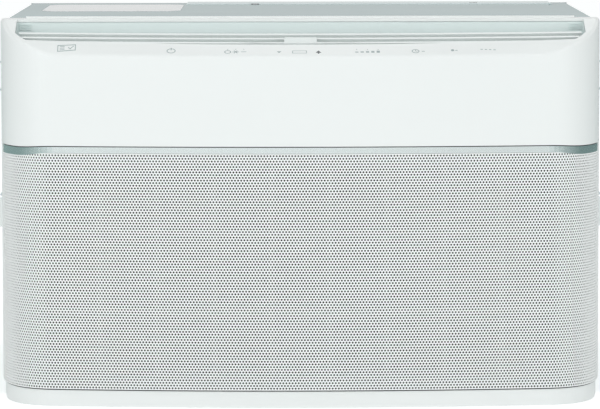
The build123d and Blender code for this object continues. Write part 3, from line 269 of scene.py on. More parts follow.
def mathNode(add, link, operation, first, second):
    node = add("ShaderNodeMath")
    node.operation = operation
    for socket, value in zip(node.inputs, (first, second)):
        if isinstance(value, (int, float)):
            socket.default_value = value
        else:
            link(value, socket)
    return node.outputs[0]


def swingBy(add, link, value, amount):
    # from minus half to plus half of the amount as value goes from 0 to 1
    return mathNode(add, link, "MULTIPLY", mathNode(add, link, "SUBTRACT", value, 0.5), amount)


def shadeBy(add, link, colour, amount, value):
    # darkens and brightens a colour by the amount as value goes from 0 to 1
    node = add("ShaderNodeVectorMath")
    node.operation = "SCALE"
    link(colour, node.inputs[0])
    link(mathNode(add, link, "ADD", swingBy(add, link, value, amount), 1.0), node.inputs["Scale"])
    return node.outputs[0]


def noise(add, link, vector, scale, detail, rough=0.5):
    node = add("ShaderNodeTexNoise")
    node.inputs["Detail"].default_value = detail
    node.inputs["Roughness"].default_value = rough
    link(vector, node.inputs["Vector"])
    if isinstance(scale, (int, float)):
        node.inputs["Scale"].default_value = scale
    else:
        link(scale, node.inputs["Scale"])
    return node.outputs["Fac"]


def closeGroup(add, link, given, out, colour, swing, height):
    link(colour, out.inputs["Color"])
    link(mathNode(add, link, "ADD", given.outputs["Rough"], swing), out.inputs["Roughness"])
    link(height, out.inputs["Height"])


def makeMouldGrain():
    group, add, link, given, out = startGroup("mouldGrain", ("Grain",))
    place = add("ShaderNodeTexCoord").outputs["Object"]
    broad = noise(add, link, place, mouldGrain["broadScale"], detail=2.0)
    fine = noise(add, link, place, given.outputs["Grain"], detail=2.0,
                 rough=mouldGrain["fineRough"])
    colour = shadeBy(add, link, given.outputs["Color"], given.outputs["Tone"], broad)
    closeGroup(add, link, given, out, colour, swingBy(add, link, fine, mouldGrain["swing"]), fine)
    return group


def makePaintSkin():
    group, add, link, given, out = startGroup("paintSkin", ("Peel",))
    place = add("ShaderNodeTexCoord").outputs["Object"]
    broad = noise(add, link, place, paintSkin["broadScale"], detail=3.0)
    peel = noise(add, link, place, given.outputs["Peel"], detail=1.0, rough=paintSkin["peelRough"])
    specks = noise(add, link, place, paintSkin["speckScale"], detail=1.0)
    colour = shadeBy(add, link, given.outputs["Color"], given.outputs["Tone"], broad)
    speckTone = mathNode(add, link, "MULTIPLY", given.outputs["Tone"], paintSkin["speckTone"])
    colour = shadeBy(add, link, colour, speckTone, specks)
    closeGroup(add, link, given, out, colour, swingBy(add, link, broad, paintSkin["swing"]), peel)
    return group


def makeBrushLines():
    stretches = ("Along X", "Along Y", "Along Z")
    group, add, link, given, out = startGroup("brushLines", ("Lines", *stretches))
    place = add("ShaderNodeTexCoord").outputs["Object"]
    spread = add("ShaderNodeCombineXYZ")
    for label, socket in zip(stretches, spread.inputs):
        link(given.outputs[label], socket)
    stretched = add("ShaderNodeVectorMath")
    stretched.operation = "MULTIPLY"
    link(place, stretched.inputs[0])
    link(spread.outputs[0], stretched.inputs[1])
    lines = noise(add, link, stretched.outputs[0], given.outputs["Lines"], detail=3.0,
                  rough=brushLines["lineRough"])
    broad = noise(add, link, place, brushLines["broadScale"], detail=2.0)
    colour = shadeBy(add, link, given.outputs["Color"], given.outputs["Tone"], lines)
    swing = mathNode(add, link, "ADD", swingBy(add, link, lines, brushLines["swing"]),
                     mathNode(add, link, "MULTIPLY", broad, brushLines["broadSwing"]))
    closeGroup(add, link, given, out, colour, swing, lines)
    return group


def makeSpangle():
    group, add, link, given, out = startGroup("spangle", ("Crystal",))
    place = add("ShaderNodeTexCoord").outputs["Object"]
    cells = add("ShaderNodeTexVoronoi")
    link(place, cells.inputs["Vector"])
    link(given.outputs["Crystal"], cells.inputs["Scale"])
    grey = add("ShaderNodeSeparateColor")
    link(cells.outputs["Color"], grey.inputs[0])
    haze = noise(add, link, place, spangle["hazeScale"], detail=4.0)
    colour = shadeBy(add, link, given.outputs["Color"], given.outputs["Tone"], grey.outputs[0])
    colour = shadeBy(add, link, colour, given.outputs["Tone"], haze)
    swing = swingBy(add, link, grey.outputs[1], spangle["swing"])
    closeGroup(add, link, given, out, colour, swing, haze)
    return group


effects = {
    "mouldGrain": makeMouldGrain(), "paintSkin": makePaintSkin(),
    "brushLines": makeBrushLines(), "spangle": makeSpangle(),
}

# slot, effect, base colour, roughness, tone swing, the effect's own numbers, bump depth in metres
# and shader values
finishes = {
    "whitePlastic": dict(
        slot="white_plastic", effect="mouldGrain", colour=(0.845, 0.875, 0.867), rough=0.34,
        tone=0.015, numbers={"Grain": 1500.0}, depth=0.00002, shader={"Specular IOR Level": 0.42}),
    "louvrePlastic": dict(
        slot="white_louvre", effect="mouldGrain", colour=(0.83, 0.875, 0.865), rough=0.36,
        tone=0.02, numbers={"Grain": 1500.0}, depth=0.00002, shader={}),
    "ductPlastic": dict(
        slot="duct_plastic", effect="mouldGrain", colour=(0.74, 0.83, 0.82), rough=0.42, tone=0.05,
        numbers={"Grain": 900.0}, depth=0.00004, shader={}),
    # near-black sheet behind the grille holes: painted shade
    "holeShadeFoam": dict(
        slot="black_plastic", effect="mouldGrain", colour=(0.004, 0.004, 0.0045), rough=0.9,
        tone=0.3, numbers={"Grain": 900.0}, depth=0.0002, shader={"Specular IOR Level": 0.2}),
    "iconDark": dict(
        slot="grey_plastic", effect="mouldGrain", colour=(0.10, 0.12, 0.12), rough=0.5, tone=0.05,
        numbers={"Grain": 2500.0}, depth=0.00001, shader={}),
    "iconInk": dict(
        slot="grey_plastic", effect="mouldGrain", colour=(0.36, 0.43, 0.43), rough=0.5, tone=0.05,
        numbers={"Grain": 2500.0}, depth=0.00001, shader={}),
    "brightTrim": dict(
        slot="bright_trim", effect="brushLines", colour=(0.76, 0.82, 0.815), rough=0.15, tone=0.03,
        numbers={"Lines": 260.0, "Along X": 0.3, "Along Y": 0.3, "Along Z": 12.0}, depth=0.0000015,
        shader={"Metallic": 1.0}),
    "grilleMetal": dict(
        slot="grille_metal", effect="paintSkin", colour=(0.905, 0.925, 0.92), rough=0.42,
        tone=0.03, numbers={"Peel": 900.0}, depth=0.00003, shader={}),
    # grey-green cabinet paint, partly its own colour and partly made darker as a painted reflection
    # of dark surroundings
    "cabinetMetal": dict(
        slot="cabinet_metal", effect="paintSkin", colour=(0.36, 0.485, 0.49), rough=0.24,
        tone=0.10, numbers={"Peel": 420.0}, depth=0.000012, shader={}),
    "bracketPaint": dict(
        slot="cabinet_metal", effect="paintSkin", colour=(0.76, 0.82, 0.815), rough=0.38,
        tone=0.04, numbers={"Peel": 420.0}, depth=0.00002, shader={}),
    # lighter than the cabinet paint: a painted reflection along the lid's rear hem
    "hemReflectionPaint": dict(
        slot="cabinet_metal", effect="paintSkin", colour=(0.66, 0.75, 0.75), rough=0.34, tone=0.05,
        numbers={"Peel": 420.0}, depth=0.00002, shader={}),
    # pale film for the patch on the lid: a painted reflection of a bright light
    "reflectionPatchFilm": dict(
        slot="white_plastic", effect="mouldGrain", colour=(0.86, 0.87, 0.87), rough=0.30,
        tone=0.03, numbers={"Grain": 700.0}, depth=0.00001, shader={}),
    "panMetal": dict(
        slot="pan_metal", effect="spangle", colour=(0.55, 0.58, 0.585), rough=0.38, tone=0.22,
        numbers={"Crystal": 120.0}, depth=0.00002, shader={"Metallic": 0.9}),
    "guardMetal": dict(
        slot="guard_metal", effect="paintSkin", colour=(0.36, 0.41, 0.405), rough=0.40, tone=0.06,
        numbers={"Peel": 500.0}, depth=0.00006, shader={}),
    "filterPlastic": dict(
        slot="filter_plastic", effect="mouldGrain", colour=(0.80, 0.84, 0.83), rough=0.45,
        tone=0.03, numbers={"Grain": 700.0}, depth=0.00005, shader={}),
    "coilFins": dict(
        slot="coil_fins", effect="brushLines", colour=(0.66, 0.69, 0.70), rough=0.34, tone=0.2,
        numbers={"Lines": 60.0, "Along X": 6.0, "Along Y": 1.0, "Along Z": 1.0}, depth=0.00003,
        shader={"Metallic": 0.95}),
    "pipeCopper": dict(
        slot="pipe_copper", effect="brushLines", colour=(0.62, 0.29, 0.16), rough=0.28, tone=0.3,
        numbers={"Lines": 90.0, "Along X": 1.0, "Along Y": 1.0, "Along Z": 1.0}, depth=0.00002,
        shader={"Metallic": 1.0}),
    "blackPlastic": dict(
        slot="black_plastic", effect="mouldGrain", colour=(0.012, 0.013, 0.014), rough=0.48,
        tone=0.2, numbers={"Grain": 900.0}, depth=0.00005, shader={}),
    "greyPlastic": dict(
        slot="grey_plastic", effect="mouldGrain", colour=(0.16, 0.175, 0.18), rough=0.48,
        tone=0.08, numbers={"Grain": 900.0}, depth=0.00005, shader={}),
    "shaftSteel": dict(
        slot="shaft_steel", effect="brushLines", colour=(0.55, 0.56, 0.57), rough=0.24, tone=0.12,
        numbers={"Lines": 200.0, "Along X": 1.0, "Along Y": 8.0, "Along Z": 1.0}, depth=0.00001,
        shader={"Metallic": 1.0}),
    "motorMetal": dict(
        slot="motor_metal", effect="paintSkin", colour=(0.10, 0.11, 0.12), rough=0.42, tone=0.12,
        numbers={"Peel": 600.0}, depth=0.00006, shader={"Metallic": 0.3}),
    "compressorBlack": dict(
        slot="compressor_black", effect="paintSkin", colour=(0.010, 0.010, 0.011), rough=0.30,
        tone=0.25, numbers={"Peel": 350.0}, depth=0.00008, shader={}),
    "boardGreen": dict(
        slot="board_green", effect="mouldGrain", colour=(0.015, 0.09, 0.04), rough=0.4, tone=0.15,
        numbers={"Grain": 1200.0}, depth=0.00004, shader={}),
    "capacitorMetal": dict(
        slot="capacitor_metal", effect="brushLines", colour=(0.66, 0.67, 0.68), rough=0.3,
        tone=0.1, numbers={"Lines": 150.0, "Along X": 1.0, "Along Y": 1.0, "Along Z": 9.0},
        depth=0.00001, shader={"Metallic": 1.0}),
    "foamWhite": dict(
        slot="foam_white", effect="mouldGrain", colour=(0.72, 0.73, 0.70), rough=0.85, tone=0.06,
        numbers={"Grain": 330.0}, depth=0.0004, shader={}),
    "blackRubber": dict(
        slot="black_rubber", effect="mouldGrain", colour=(0.014, 0.014, 0.014), rough=0.7,
        tone=0.2, numbers={"Grain": 600.0}, depth=0.00006, shader={}),
    "screwSteel": dict(
        slot="screw_steel", effect="spangle", colour=(0.30, 0.31, 0.32), rough=0.3, tone=0.15,
        numbers={"Crystal": 900.0}, depth=0.00001, shader={"Metallic": 1.0}),
}


def makeMaterial(name, values):
    material = bpy.data.materials.new(name)
    material.use_nodes = True
    tree = material.node_tree
    shader = tree.nodes["Principled BSDF"]
    effect = tree.nodes.new("ShaderNodeGroup")
    effect.node_tree = effects[values["effect"]]
    effect.inputs["Color"].default_value = (*values["colour"], 1)
    effect.inputs["Rough"].default_value = values["rough"]
    effect.inputs["Tone"].default_value = values["tone"]
    for label, number in values["numbers"].items():
        effect.inputs[label].default_value = number
    for label, number in values["shader"].items():
        shader.inputs[label].default_value = number
    bump = tree.nodes.new("ShaderNodeBump")
    bump.inputs["Distance"].default_value = values["depth"]
    tree.links.new(effect.outputs["Height"], bump.inputs["Height"])
    tree.links.new(effect.outputs["Color"], shader.inputs["Base Color"])
    tree.links.new(effect.outputs["Roughness"], shader.inputs["Roughness"])
    tree.links.new(bump.outputs["Normal"], shader.inputs["Normal"])
    return material


materials = {name: makeMaterial(name, values) for name, values in finishes.items()}

filterNet = {
    "slot": "filter_net", "colour": (0.03, 0.036, 0.042), "rough": 0.7, "depth": 0.0002,
    "pitch": 0.0016, "thread": 0.34,  # a thread's width, as a share of the pitch
    # painted shade and highlight: tones that scale the threads' colour from their edges to their
    # crowns
    "hollow": 0.4, "crown": 1.3,  # tone between the threads and on top of them
}


def makeNetMaterial():
    # crossed threads with open squares between them, darker at the threads' edges and lighter on
    # their crowns as painted shade and highlight
    material = bpy.data.materials.new("filterNet")
    material.use_nodes = True
    tree = material.node_tree
    add, link = tree.nodes.new, tree.links.new
    shader = tree.nodes["Principled BSDF"]
    split = add("ShaderNodeSeparateXYZ")
    link(add("ShaderNodeTexCoord").outputs["Object"], split.inputs[0])
    threads = []
    for axis in ("X", "Z"):
        turns = mathNode(add, link, "DIVIDE", split.outputs[axis], filterNet["pitch"])
        across = mathNode(add, link, "PINGPONG", turns, 0.5)
        threads.append(mathNode(add, link, "MULTIPLY", across, 2.0))
    nearest = mathNode(add, link, "MINIMUM", *threads)
    solid = mathNode(add, link, "LESS_THAN", nearest, filterNet["thread"])
    height = mathNode(add, link, "SUBTRACT", 1.0, nearest)
    bump = add("ShaderNodeBump")
    bump.inputs["Distance"].default_value = filterNet["depth"]
    shade = add("ShaderNodeMapRange")
    shade.inputs["To Min"].default_value = filterNet["hollow"]
    shade.inputs["To Max"].default_value = filterNet["crown"]
    link(height, shade.inputs["Value"])
    colour = add("ShaderNodeVectorMath")
    colour.operation = "SCALE"
    colour.inputs[0].default_value = filterNet["colour"]
    link(shade.outputs[0], colour.inputs["Scale"])
    link(colour.outputs[0], shader.inputs["Base Color"])
    shader.inputs["Roughness"].default_value = filterNet["rough"]
    link(height, bump.inputs["Height"])
    link(bump.outputs["Normal"], shader.inputs["Normal"])
    link(solid, shader.inputs["Alpha"])
    return material


materials["filterNet"] = makeNetMaterial()
finishes["filterNet"] = filterNet
print("finishes ready:", len(materials))


# making pieces
weldGap = 0.000002  # corners of a node closer than this are one
sameHeight = 0.000001  # heights over a flat sheet closer than this are one


def meshPiece(name, bm, finish, body, sharp):
    mesh = bpy.data.meshes.new(name)
    bm.to_mesh(mesh)
    bm.free()
    mesh.materials.append(materials[finish])
    mesh.shade_smooth()
    mesh.set_sharp_from_angle(angle=math.radians(sharp))
    piece = bpy.data.objects.new(name, mesh)
    bpy.context.scene.collection.objects.link(piece)
    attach(piece, body)
    return piece


def camelName(node):
    first, *rest = node.split("_")
    return first + "".join(word.capitalize() for word in rest)


def mergedCopy(node):
    bm = bmesh.new()
    bm.from_mesh(nodes[node].data)
    bmesh.ops.remove_doubles(bm, verts=bm.verts, dist=weldGap)
    return bm


def evenNormals(piece):
    evened = piece.modifiers.new("evenNormals", "WEIGHTED_NORMAL")
    evened.mode, evened.keep_sharp = "FACE_AREA", True


def standFor(node, bm, finish, sharp):
    # a reworked copy of a node, shown in its place
    piece = meshPiece(camelName(node), bm, finish, nodes[node]["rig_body"], sharp)
    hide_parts(node)
    return piece


def giveFinish(names, finish):
    for name in names:
        nodes[name].data.materials.clear()
        nodes[name].data.materials.append(materials[finish])


# carried-over nodes, by finish
looks = {
    "whitePlastic": ["front_panel", "base_skirt", "front_frame"],
    "louvrePlastic": ["louvre_front", "louvre_middle", "louvre_rear"],
    "ductPlastic": ["outlet_duct", "louvre_link", "vane_link_left", "vane_link_right", "vane_rail",
                    *[f"vane_{hand}_{i}" for hand in ("left", "right") for i in range(1, 6)]],
    "brightTrim": ["trim_strip"],
    "grilleMetal": ["grille_mesh"],
    "blackPlastic": ["grille_backing", "terminal_cover", "blower_wheel", "axial_fan"],
    "cabinetMetal": ["cabinet_lid", "cabinet_side_left", "cabinet_side_right"],
    "bracketPaint": ["curtain_brackets"],
    "guardMetal": ["rear_guard"],
    "panMetal": ["base_pan", "bulkhead", "motor_bracket", "fan_shroud"],
    "filterPlastic": ["filter_frame_left", "filter_frame_right"],
    "filterNet": ["filter_net_left", "filter_net_right"],
    "coilFins": ["evaporator_coil", "condenser_coil"],
    "pipeCopper": ["discharge_pipe", "suction_pipe", "liquid_pipe", "filter_drier",
                   "capillary_tube"],
    "greyPlastic": ["control_box"],
    "shaftSteel": ["motor_shaft"],
    "motorMetal": ["fan_motor"],
    "compressorBlack": ["compressor"],
    "boardGreen": ["main_board", "touch_board"],
    "capacitorMetal": ["run_capacitor"],
    "foamWhite": ["blower_scroll", "drain_tray"],
    "blackRubber": ["cord_grommet", "compressor_grommets"],
    "screwSteel": ["cabinet_screws", "compressor_nuts"],
}
for finishName, members in looks.items():
    giveFinish(members, finishName)
finished = {name for members in looks.values() for name in members}
print("nodes without a finish:", sorted(set(nodes) - finished))

# nodes copied to shade smoothly: the finish, and the angle over which an edge stays sharp
roundPieces = {
    "base_skirt": ("whitePlastic", 30.0), "outlet_duct": ("ductPlastic", 30.0),
    "louvre_front": ("louvrePlastic", 30.0), "louvre_middle": ("louvrePlastic", 30.0),
    "louvre_rear": ("louvrePlastic", 30.0), "grille_backing": ("blackPlastic", 30.0),
    "compressor": ("compressorBlack", 35.0), "axial_fan": ("blackPlastic", 35.0),
    "fan_motor": ("motorMetal", 35.0), "fan_shroud": ("panMetal", 35.0),
    "cord_grommet": ("blackRubber", 35.0), "discharge_pipe": ("pipeCopper", 40.0),
    "suction_pipe": ("pipeCopper", 40.0), "liquid_pipe": ("pipeCopper", 40.0),
    "capillary_tube": ("pipeCopper", 40.0), "filter_drier": ("pipeCopper", 40.0),
    "run_capacitor": ("capacitorMetal", 35.0), "motor_shaft": ("shaftSteel", 35.0),
    "blower_scroll": ("foamWhite", 35.0),
}
for nodeName, (finishName, sharp) in roundPieces.items():
    evenNormals(standFor(nodeName, mergedCopy(nodeName), finishName, sharp))
print("carried-over pieces dressed")


# plan of the front: a bow, and on each side a corner and a flank
outline = {
    "halfWidth": 0.287, "bowRadius": 1.7, "cornerRadius": 0.052, "cornerTurn": 60.0,
    "flankRadius": 0.1, "draft": 6.0, "housingDepth": 0.112,
}
skinSearch = {"near": 0.2, "far": 0.6, "halvings": 40}  # lengths between which the skin ends
walked = 1e-9  # what is left of a walk along the plan at its end

# perforated grille
grille = {
    "across": 0.002893, "up": 0.002543, "hole": 0.00096,  # pitch both ways, and radius
    "rimReach": 1.2,  # a corner within this many radii belongs to the hole
    "edge": 0.0042, "rim": 0.0005,  # left without holes at the ends, and above and below
    "endGap": 0.0001, "inset": 0.0005, "gauge": 0.0006, "sections": 8, "sharp": 35.0,
}


def bowTurn():
    # the turn at which the bow hands over to the corner, so that the flank ends at the half width
    tilt, corner = math.radians(outline["draft"]), math.radians(outline["cornerTurn"])
    bow, turn, flank = outline["bowRadius"], outline["cornerRadius"], outline["flankRadius"]
    rise = flank * (math.cos(corner) - math.sin(tilt))
    run = flank * (math.cos(tilt) - math.sin(corner))
    reach = (outline["halfWidth"] - turn * math.sin(corner) - run
             - math.tan(tilt) * (outline["housingDepth"] - bow + turn * math.cos(corner) - rise))
    return math.asin(math.cos(tilt) * reach / (bow - turn)) - tilt


def outlinePoint(along, inset):
    # a point of the front's plan at a distance along its outer skin, and set in from it
    side = 1 if along >= 0 else -1
    left = abs(along)
    skin = grille["inset"]
    point, heading = Vector((0.0, front + skin)), 0.0
    legs = ((outline["bowRadius"] - skin, bowTurn()),
            (outline["cornerRadius"] - skin, math.radians(outline["cornerTurn"])),
            (outline["flankRadius"] - skin, math.radians(90 - outline["draft"])))
    for radius, until in legs:
        turned = min(left / radius, until - heading)
        centre = point + radius * Vector((-math.sin(heading), math.cos(heading)))
        heading += turned
        point = centre + radius * Vector((math.sin(heading), -math.cos(heading)))
        left -= turned * radius
        if left <= walked:
            break
    point += max(left, 0.0) * Vector((math.cos(heading), math.sin(heading)))
    point += inset * Vector((-math.sin(heading), math.cos(heading)))
    return Vector((side * point.x, point.y))


def skinLength(depthBack):
    # how far along the skin, from the middle, its edge lies this far back
    near, far = skinSearch["near"], skinSearch["far"]
    for _ in range(skinSearch["halvings"]):
        middle = (near + far) / 2
        if outlinePoint(middle, 0.0).y < depthBack:
            near = middle
        else:
            far = middle
    return near


def acrossAt(column, plan):
    return (column - (plan["columns"] + 1) / 2) * grille["across"]


def heightAt(row, plan):
    return plan["middle"] + (row - (plan["rows"] + 1) / 2) * grille["up"]


def rowShift(row):
    # the rows stand off by a quarter of the pitch, to either side in turn
    return grille["across"] / 4 * (1 if row % 2 else -1)


def perforatedSheet(plan):
    # flat sheet, x along the skin and y up, with a grid point bevelled open at every hole
    columns, rows = plan["columns"], plan["rows"]
    sheet = bmesh.new()
    bmesh.ops.create_grid(sheet, x_segments=columns + 1, y_segments=rows + 1, size=0.5)
    holes = []
    for vert in sheet.verts:
        column = round((vert.co.x + 0.5) * (columns + 1))
        row = round((vert.co.y + 0.5) * (rows + 1))
        x, height = acrossAt(column, plan), heightAt(row, plan)
        if 0 < column <= columns and 0 < row <= rows:
            x += rowShift(row)
            holes.append(vert)
        if column == 0 or column == columns + 1:
            x = plan["half"] * (1 if column else -1)
        if row == 0 or row == rows + 1:
            height = plan["top"] if row else plan["bottom"]
        vert.co = (x, height, 0.0)
    cut = bmesh.ops.bevel(sheet, geom=holes, offset=grille["hole"], offset_type="OFFSET",
                          affect="VERTICES", segments=2, profile=0.5, material=-1,
                          clamp_overlap=False)
    bmesh.ops.delete(sheet, geom=cut["faces"], context="FACES")
    return sheet


def roundHoles(sheet, plan):
    # each hole's rim is drawn out to an even ring of eight
    rims = {}
    for vert in sheet.verts:
        row = round((vert.co.y - plan["middle"]) / grille["up"] + (plan["rows"] + 1) / 2)
        if not 0 < row <= plan["rows"]:
            continue
        shift = rowShift(row)
        column = round((vert.co.x - shift) / grille["across"] + (plan["columns"] + 1) / 2)
        middle = Vector((acrossAt(column, plan) + shift, heightAt(row, plan)))
        away = vert.co.xy - middle
        if 0 < column <= plan["columns"] and away.length < grille["hole"] * grille["rimReach"]:
            turn = math.atan2(away.y, away.x) % math.tau
            rims.setdefault((column, row), []).append((turn, vert, middle))
    for rim in rims.values():
        # a corner just short of a whole turn counts as the first
        rim.sort(key=lambda entry: (entry[0] + math.pi / 16) % math.tau)
        for place, (_, vert, middle) in enumerate(rim):
            angle = place * math.tau / len(rim)
            vert.co.x = middle.x + grille["hole"] * math.cos(angle)
            vert.co.y = middle.y + grille["hole"] * math.sin(angle)


def bendSection(sheet, first, last):
    # one upright section of the flat sheet, given its gauge and bent round the front
    bm = sheet.copy()
    stray = [face for face in bm.faces if not first <= face.calc_center_median().x < last]
    bmesh.ops.delete(bm, geom=stray, context="FACES")
    bmesh.ops.solidify(bm, geom=bm.faces[:], thickness=grille["gauge"])
    for vert in bm.verts:
        point = outlinePoint(vert.co.x, 0.0 if abs(vert.co.z) < sameHeight else grille["gauge"])
        vert.co = (point.x, point.y, vert.co.y)
    bmesh.ops.recalc_face_normals(bm, faces=bm.faces)
    if bm.calc_volume(signed=True) < 0:
        bmesh.ops.reverse_faces(bm, faces=bm.faces)  # a sheet full of holes can come out inside out
    return bm


def makeGrille():
    lowGrille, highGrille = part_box("grille_mesh")
    bottom, top = lowGrille.z, highGrille.z
    half = skinLength(highGrille.y - grille["endGap"])
    plan = {
        "half": half, "bottom": bottom, "top": top, "middle": (bottom + top) / 2,
        "columns": int((2 * (half - grille["edge"])) / grille["across"]),
        "rows": int((top - bottom - 2 * grille["rim"]) / grille["up"]),
    }
    sheet = perforatedSheet(plan)
    roundHoles(sheet, plan)
    for number in range(grille["sections"]):
        first = -half + 2 * half * number / grille["sections"]
        bm = bendSection(sheet, first, first + 2 * half / grille["sections"])
        piece = meshPiece(f"grilleSkin{number + 1}", bm, "grilleMetal", "unit", grille["sharp"])
        if number == 0:
            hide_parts("grille_mesh")
    sheet.free()
    return plan["columns"] * plan["rows"]


print("grille holes:", makeGrille())

# near-black screen behind the grille, painted shade for the dark inside seen through the holes
screen = {
    "inset": 0.0043, "gauge": 0.0003, "bottom": 0.0162, "margin": 0.006,
    "columns": 120, "rows": 4, "sharp": 35.0,
}


def makeHoleShadeScreen():
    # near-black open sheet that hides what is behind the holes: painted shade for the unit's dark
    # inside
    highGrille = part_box("grille_mesh")[1]
    half = skinLength(highGrille.y - screen["margin"])
    bm = bmesh.new()
    bmesh.ops.create_grid(bm, x_segments=screen["columns"], y_segments=screen["rows"], size=0.5)
    bmesh.ops.solidify(bm, geom=bm.faces[:], thickness=screen["gauge"])
    for vert in bm.verts:
        inset = screen["inset"] + (0.0 if abs(vert.co.z) < sameHeight else screen["gauge"])
        point = outlinePoint(vert.co.x * 2 * half, inset)
        height = screen["bottom"] + (vert.co.y + 0.5) * (highGrille.z - screen["bottom"])
        vert.co = (point.x, point.y, height)
    bmesh.ops.recalc_face_normals(bm, faces=bm.faces)
    meshPiece("holeShadeScreen", bm, "holeShadeFoam", "unit", screen["sharp"])


makeHoleShadeScreen()
print("dust screen ready")

# slope of the front panel: its front edge is lowered so that it stays level along the bow
# the fall fades out towards the corners, from fadeFrom to fadeTo, and towards the lip behind
slope = {
    "edgeHeight": 0.331, "angle": 22.0, "lipBack": 0.023, "lipBow": 3.125,
    "fadeFrom": 0.226, "fadeTo": 0.262, "bowTo": 0.26,  # places from the middle
    "short": 0.003, "under": 0.003,  # the fall ends short of the lip, and is full under the edge
    "reachDown": 0.312, "backLimit": 0.036,  # nothing lower or further back moves
    "snap": 0.0002,  # points this near to the bow are put on it
    "sharp": 30.0, "boardSharp": 35.0,
}
panelCuts = {
    "across": 0.011, "backs": (0.004, 0.008, 0.012, 0.016, 0.020, 0.024, 0.028, 0.032, 0.036),
    "weld": 0.000001, "slack": 0.00001,
}
slopeRise = math.tan(math.radians(slope["angle"]))


def shareOf(value, start, end):
    return min(max((value - start) / (end - start), 0.0), 1.0)


def easedShare(value, start, end):
    share = shareOf(value, start, end)
    return share * share * (3 - 2 * share)


def edgeBack(x):
    bow = outline["bowRadius"]
    return bow - math.sqrt(bow ** 2 - x ** 2)


def slopeDrop(x, back):
    # the fall at a place on the slope; it fades out to the lip and to the corners
    lip = slope["lipBack"] + x ** 2 / (2 * slope["lipBow"]) - slope["short"]
    reach = shareOf(back, edgeBack(x), lip)
    fade = 1 - easedShare(abs(x), slope["fadeFrom"], slope["fadeTo"])
    return slopeRise * edgeBack(min(abs(x), slope["bowTo"])) * (1 - reach) * fade


def lowerEdge(bm):
    for vert in bm.verts:
        x, back = vert.co.x, vert.co.y - front
        if vert.co.z < slope["reachDown"] or abs(x) > slope["fadeTo"] or back > slope["backLimit"]:
            continue
        full = slope["edgeHeight"] + slopeRise * edgeBack(x) - slope["under"]
        vert.co.z -= slopeDrop(x, back) * shareOf(vert.co.z, slope["reachDown"], full)


def cutAcross(bm, faces, point, direction):
    edges = dict.fromkeys(edge for face in faces for edge in face.edges)
    verts = dict.fromkeys(vert for face in faces for vert in face.verts)
    bmesh.ops.bisect_plane(bm, geom=[*verts, *edges, *faces], dist=panelCuts["weld"],
                           plane_co=point, plane_no=direction)


# bright strip under the panel: it widens and drops a little where it goes round the corners
strip = {
    "from": 0.236, "to": 0.268, "top": 0.0014, "bottom": 0.0030, "gap": 0.0006, "sharp": 30.0,
}


def cornerShare(x):
    return easedShare(abs(x), strip["from"], strip["to"])


def makeTrimStrip():
    bottom, top = (corner.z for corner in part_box("trim_strip"))
    bm = mergedCopy("trim_strip")
    for vert in bm.verts:
        if vert.co.z > (bottom + top) / 2:
            vert.co.z -= strip["top"] * cornerShare(vert.co.x) + strip["gap"]
        else:
            vert.co.z -= strip["bottom"] * cornerShare(vert.co.x)
    evenNormals(standFor("trim_strip", bm, "brightTrim", strip["sharp"]))


def cutFrontPanel(bm):
    # gives the upper part enough points to bend, without cutting the faces under it
    level = slope["reachDown"]
    cutAcross(bm, bm.faces[:], (0, 0, level), (0, 0, 1))
    count = int(slope["fadeTo"] / panelCuts["across"])
    cuts = [((step * panelCuts["across"], 0, 0), (1, 0, 0)) for step in range(-count, count + 1)]
    cuts += [((0, front + back, 0), (0, 1, 0)) for back in panelCuts["backs"]]
    for point, direction in cuts:
        faces = [face for face in bm.faces
                 if min(vert.co.z for vert in face.verts) > level - panelCuts["slack"]]
        cutAcross(bm, faces, point, direction)


def makeFrontPanel():
    bm = mergedCopy("front_panel")
    cutFrontPanel(bm)
    bowEnd = outline["bowRadius"] * math.sin(bowTurn())
    for vert in bm.verts:
        if abs(vert.co.x) < bowEnd and abs(vert.co.y - front - edgeBack(vert.co.x)) < slope["snap"]:
            vert.co.y = front + edgeBack(vert.co.x)
    lowerEdge(bm)
    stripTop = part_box("trim_strip")[1].z + strip["gap"]
    for vert in bm.verts:
        if vert.co.z < stripTop:
            vert.co.z -= strip["top"] * cornerShare(vert.co.x)
    evenNormals(standFor("front_panel", bm, "whitePlastic", slope["sharp"]))


def makeTouchBoard():
    # follows the slope from below
    bm = mergedCopy("touch_board")
    for vert in bm.verts:
        vert.co.z -= slopeDrop(vert.co.x, vert.co.y - front)
    standFor("touch_board", bm, "boardGreen", slope["boardSharp"])


makeFrontPanel()
makeTouchBoard()
makeTrimStrip()
print("front panel and strip ready")

# touch marks, thin raised ink on the slope; a place is the mark's x and its distance from the front
marks = {
    "line": 0.00075, "thinShare": 0.8, "bladeShare": 0.9, "ringSides": 28,
    "raise": 0.00012, "sink": 0.0001, "weld": 0.00001, "sharp": 30.0,
    "places": {
        "filterReset": (-0.2190, 0.0221), "power": (-0.1209, 0.0124), "fanMode": (-0.0620, 0.0096),
        "lower": (-0.0200, 0.0079), "window": (-0.0009, 0.0077), "higher": (0.0168, 0.0077),
        "fanSpeed": (0.0625, 0.0091), "timer": (0.1074, 0.0108), "sleep": (0.1421, 0.0136),
        "night": (0.1754, 0.0164),
    },
    "finishes": {"higher": "iconDark"},
}


def bar(bm, middle, length, width, turn=0.0):
    place = (Matrix.Translation((*middle, 0)) @ Matrix.Rotation(math.radians(turn), 4, "Z")
             @ Matrix.Diagonal((length, width, 1, 1)))
    bmesh.ops.create_grid(bm, x_segments=1, y_segments=1, size=0.5, matrix=place)


def ring(bm, middle, radius, width):
    place = Matrix.Translation((*middle, 0))
    rims = []
    for size in (radius - width / 2, radius + width / 2):
        made = bmesh.ops.create_circle(bm, cap_ends=False, radius=size,
                                       segments=marks["ringSides"], matrix=place)
        rims += dict.fromkeys(edge for vert in made["verts"] for edge in vert.link_edges)
    bmesh.ops.bridge_loops(bm, edges=rims)


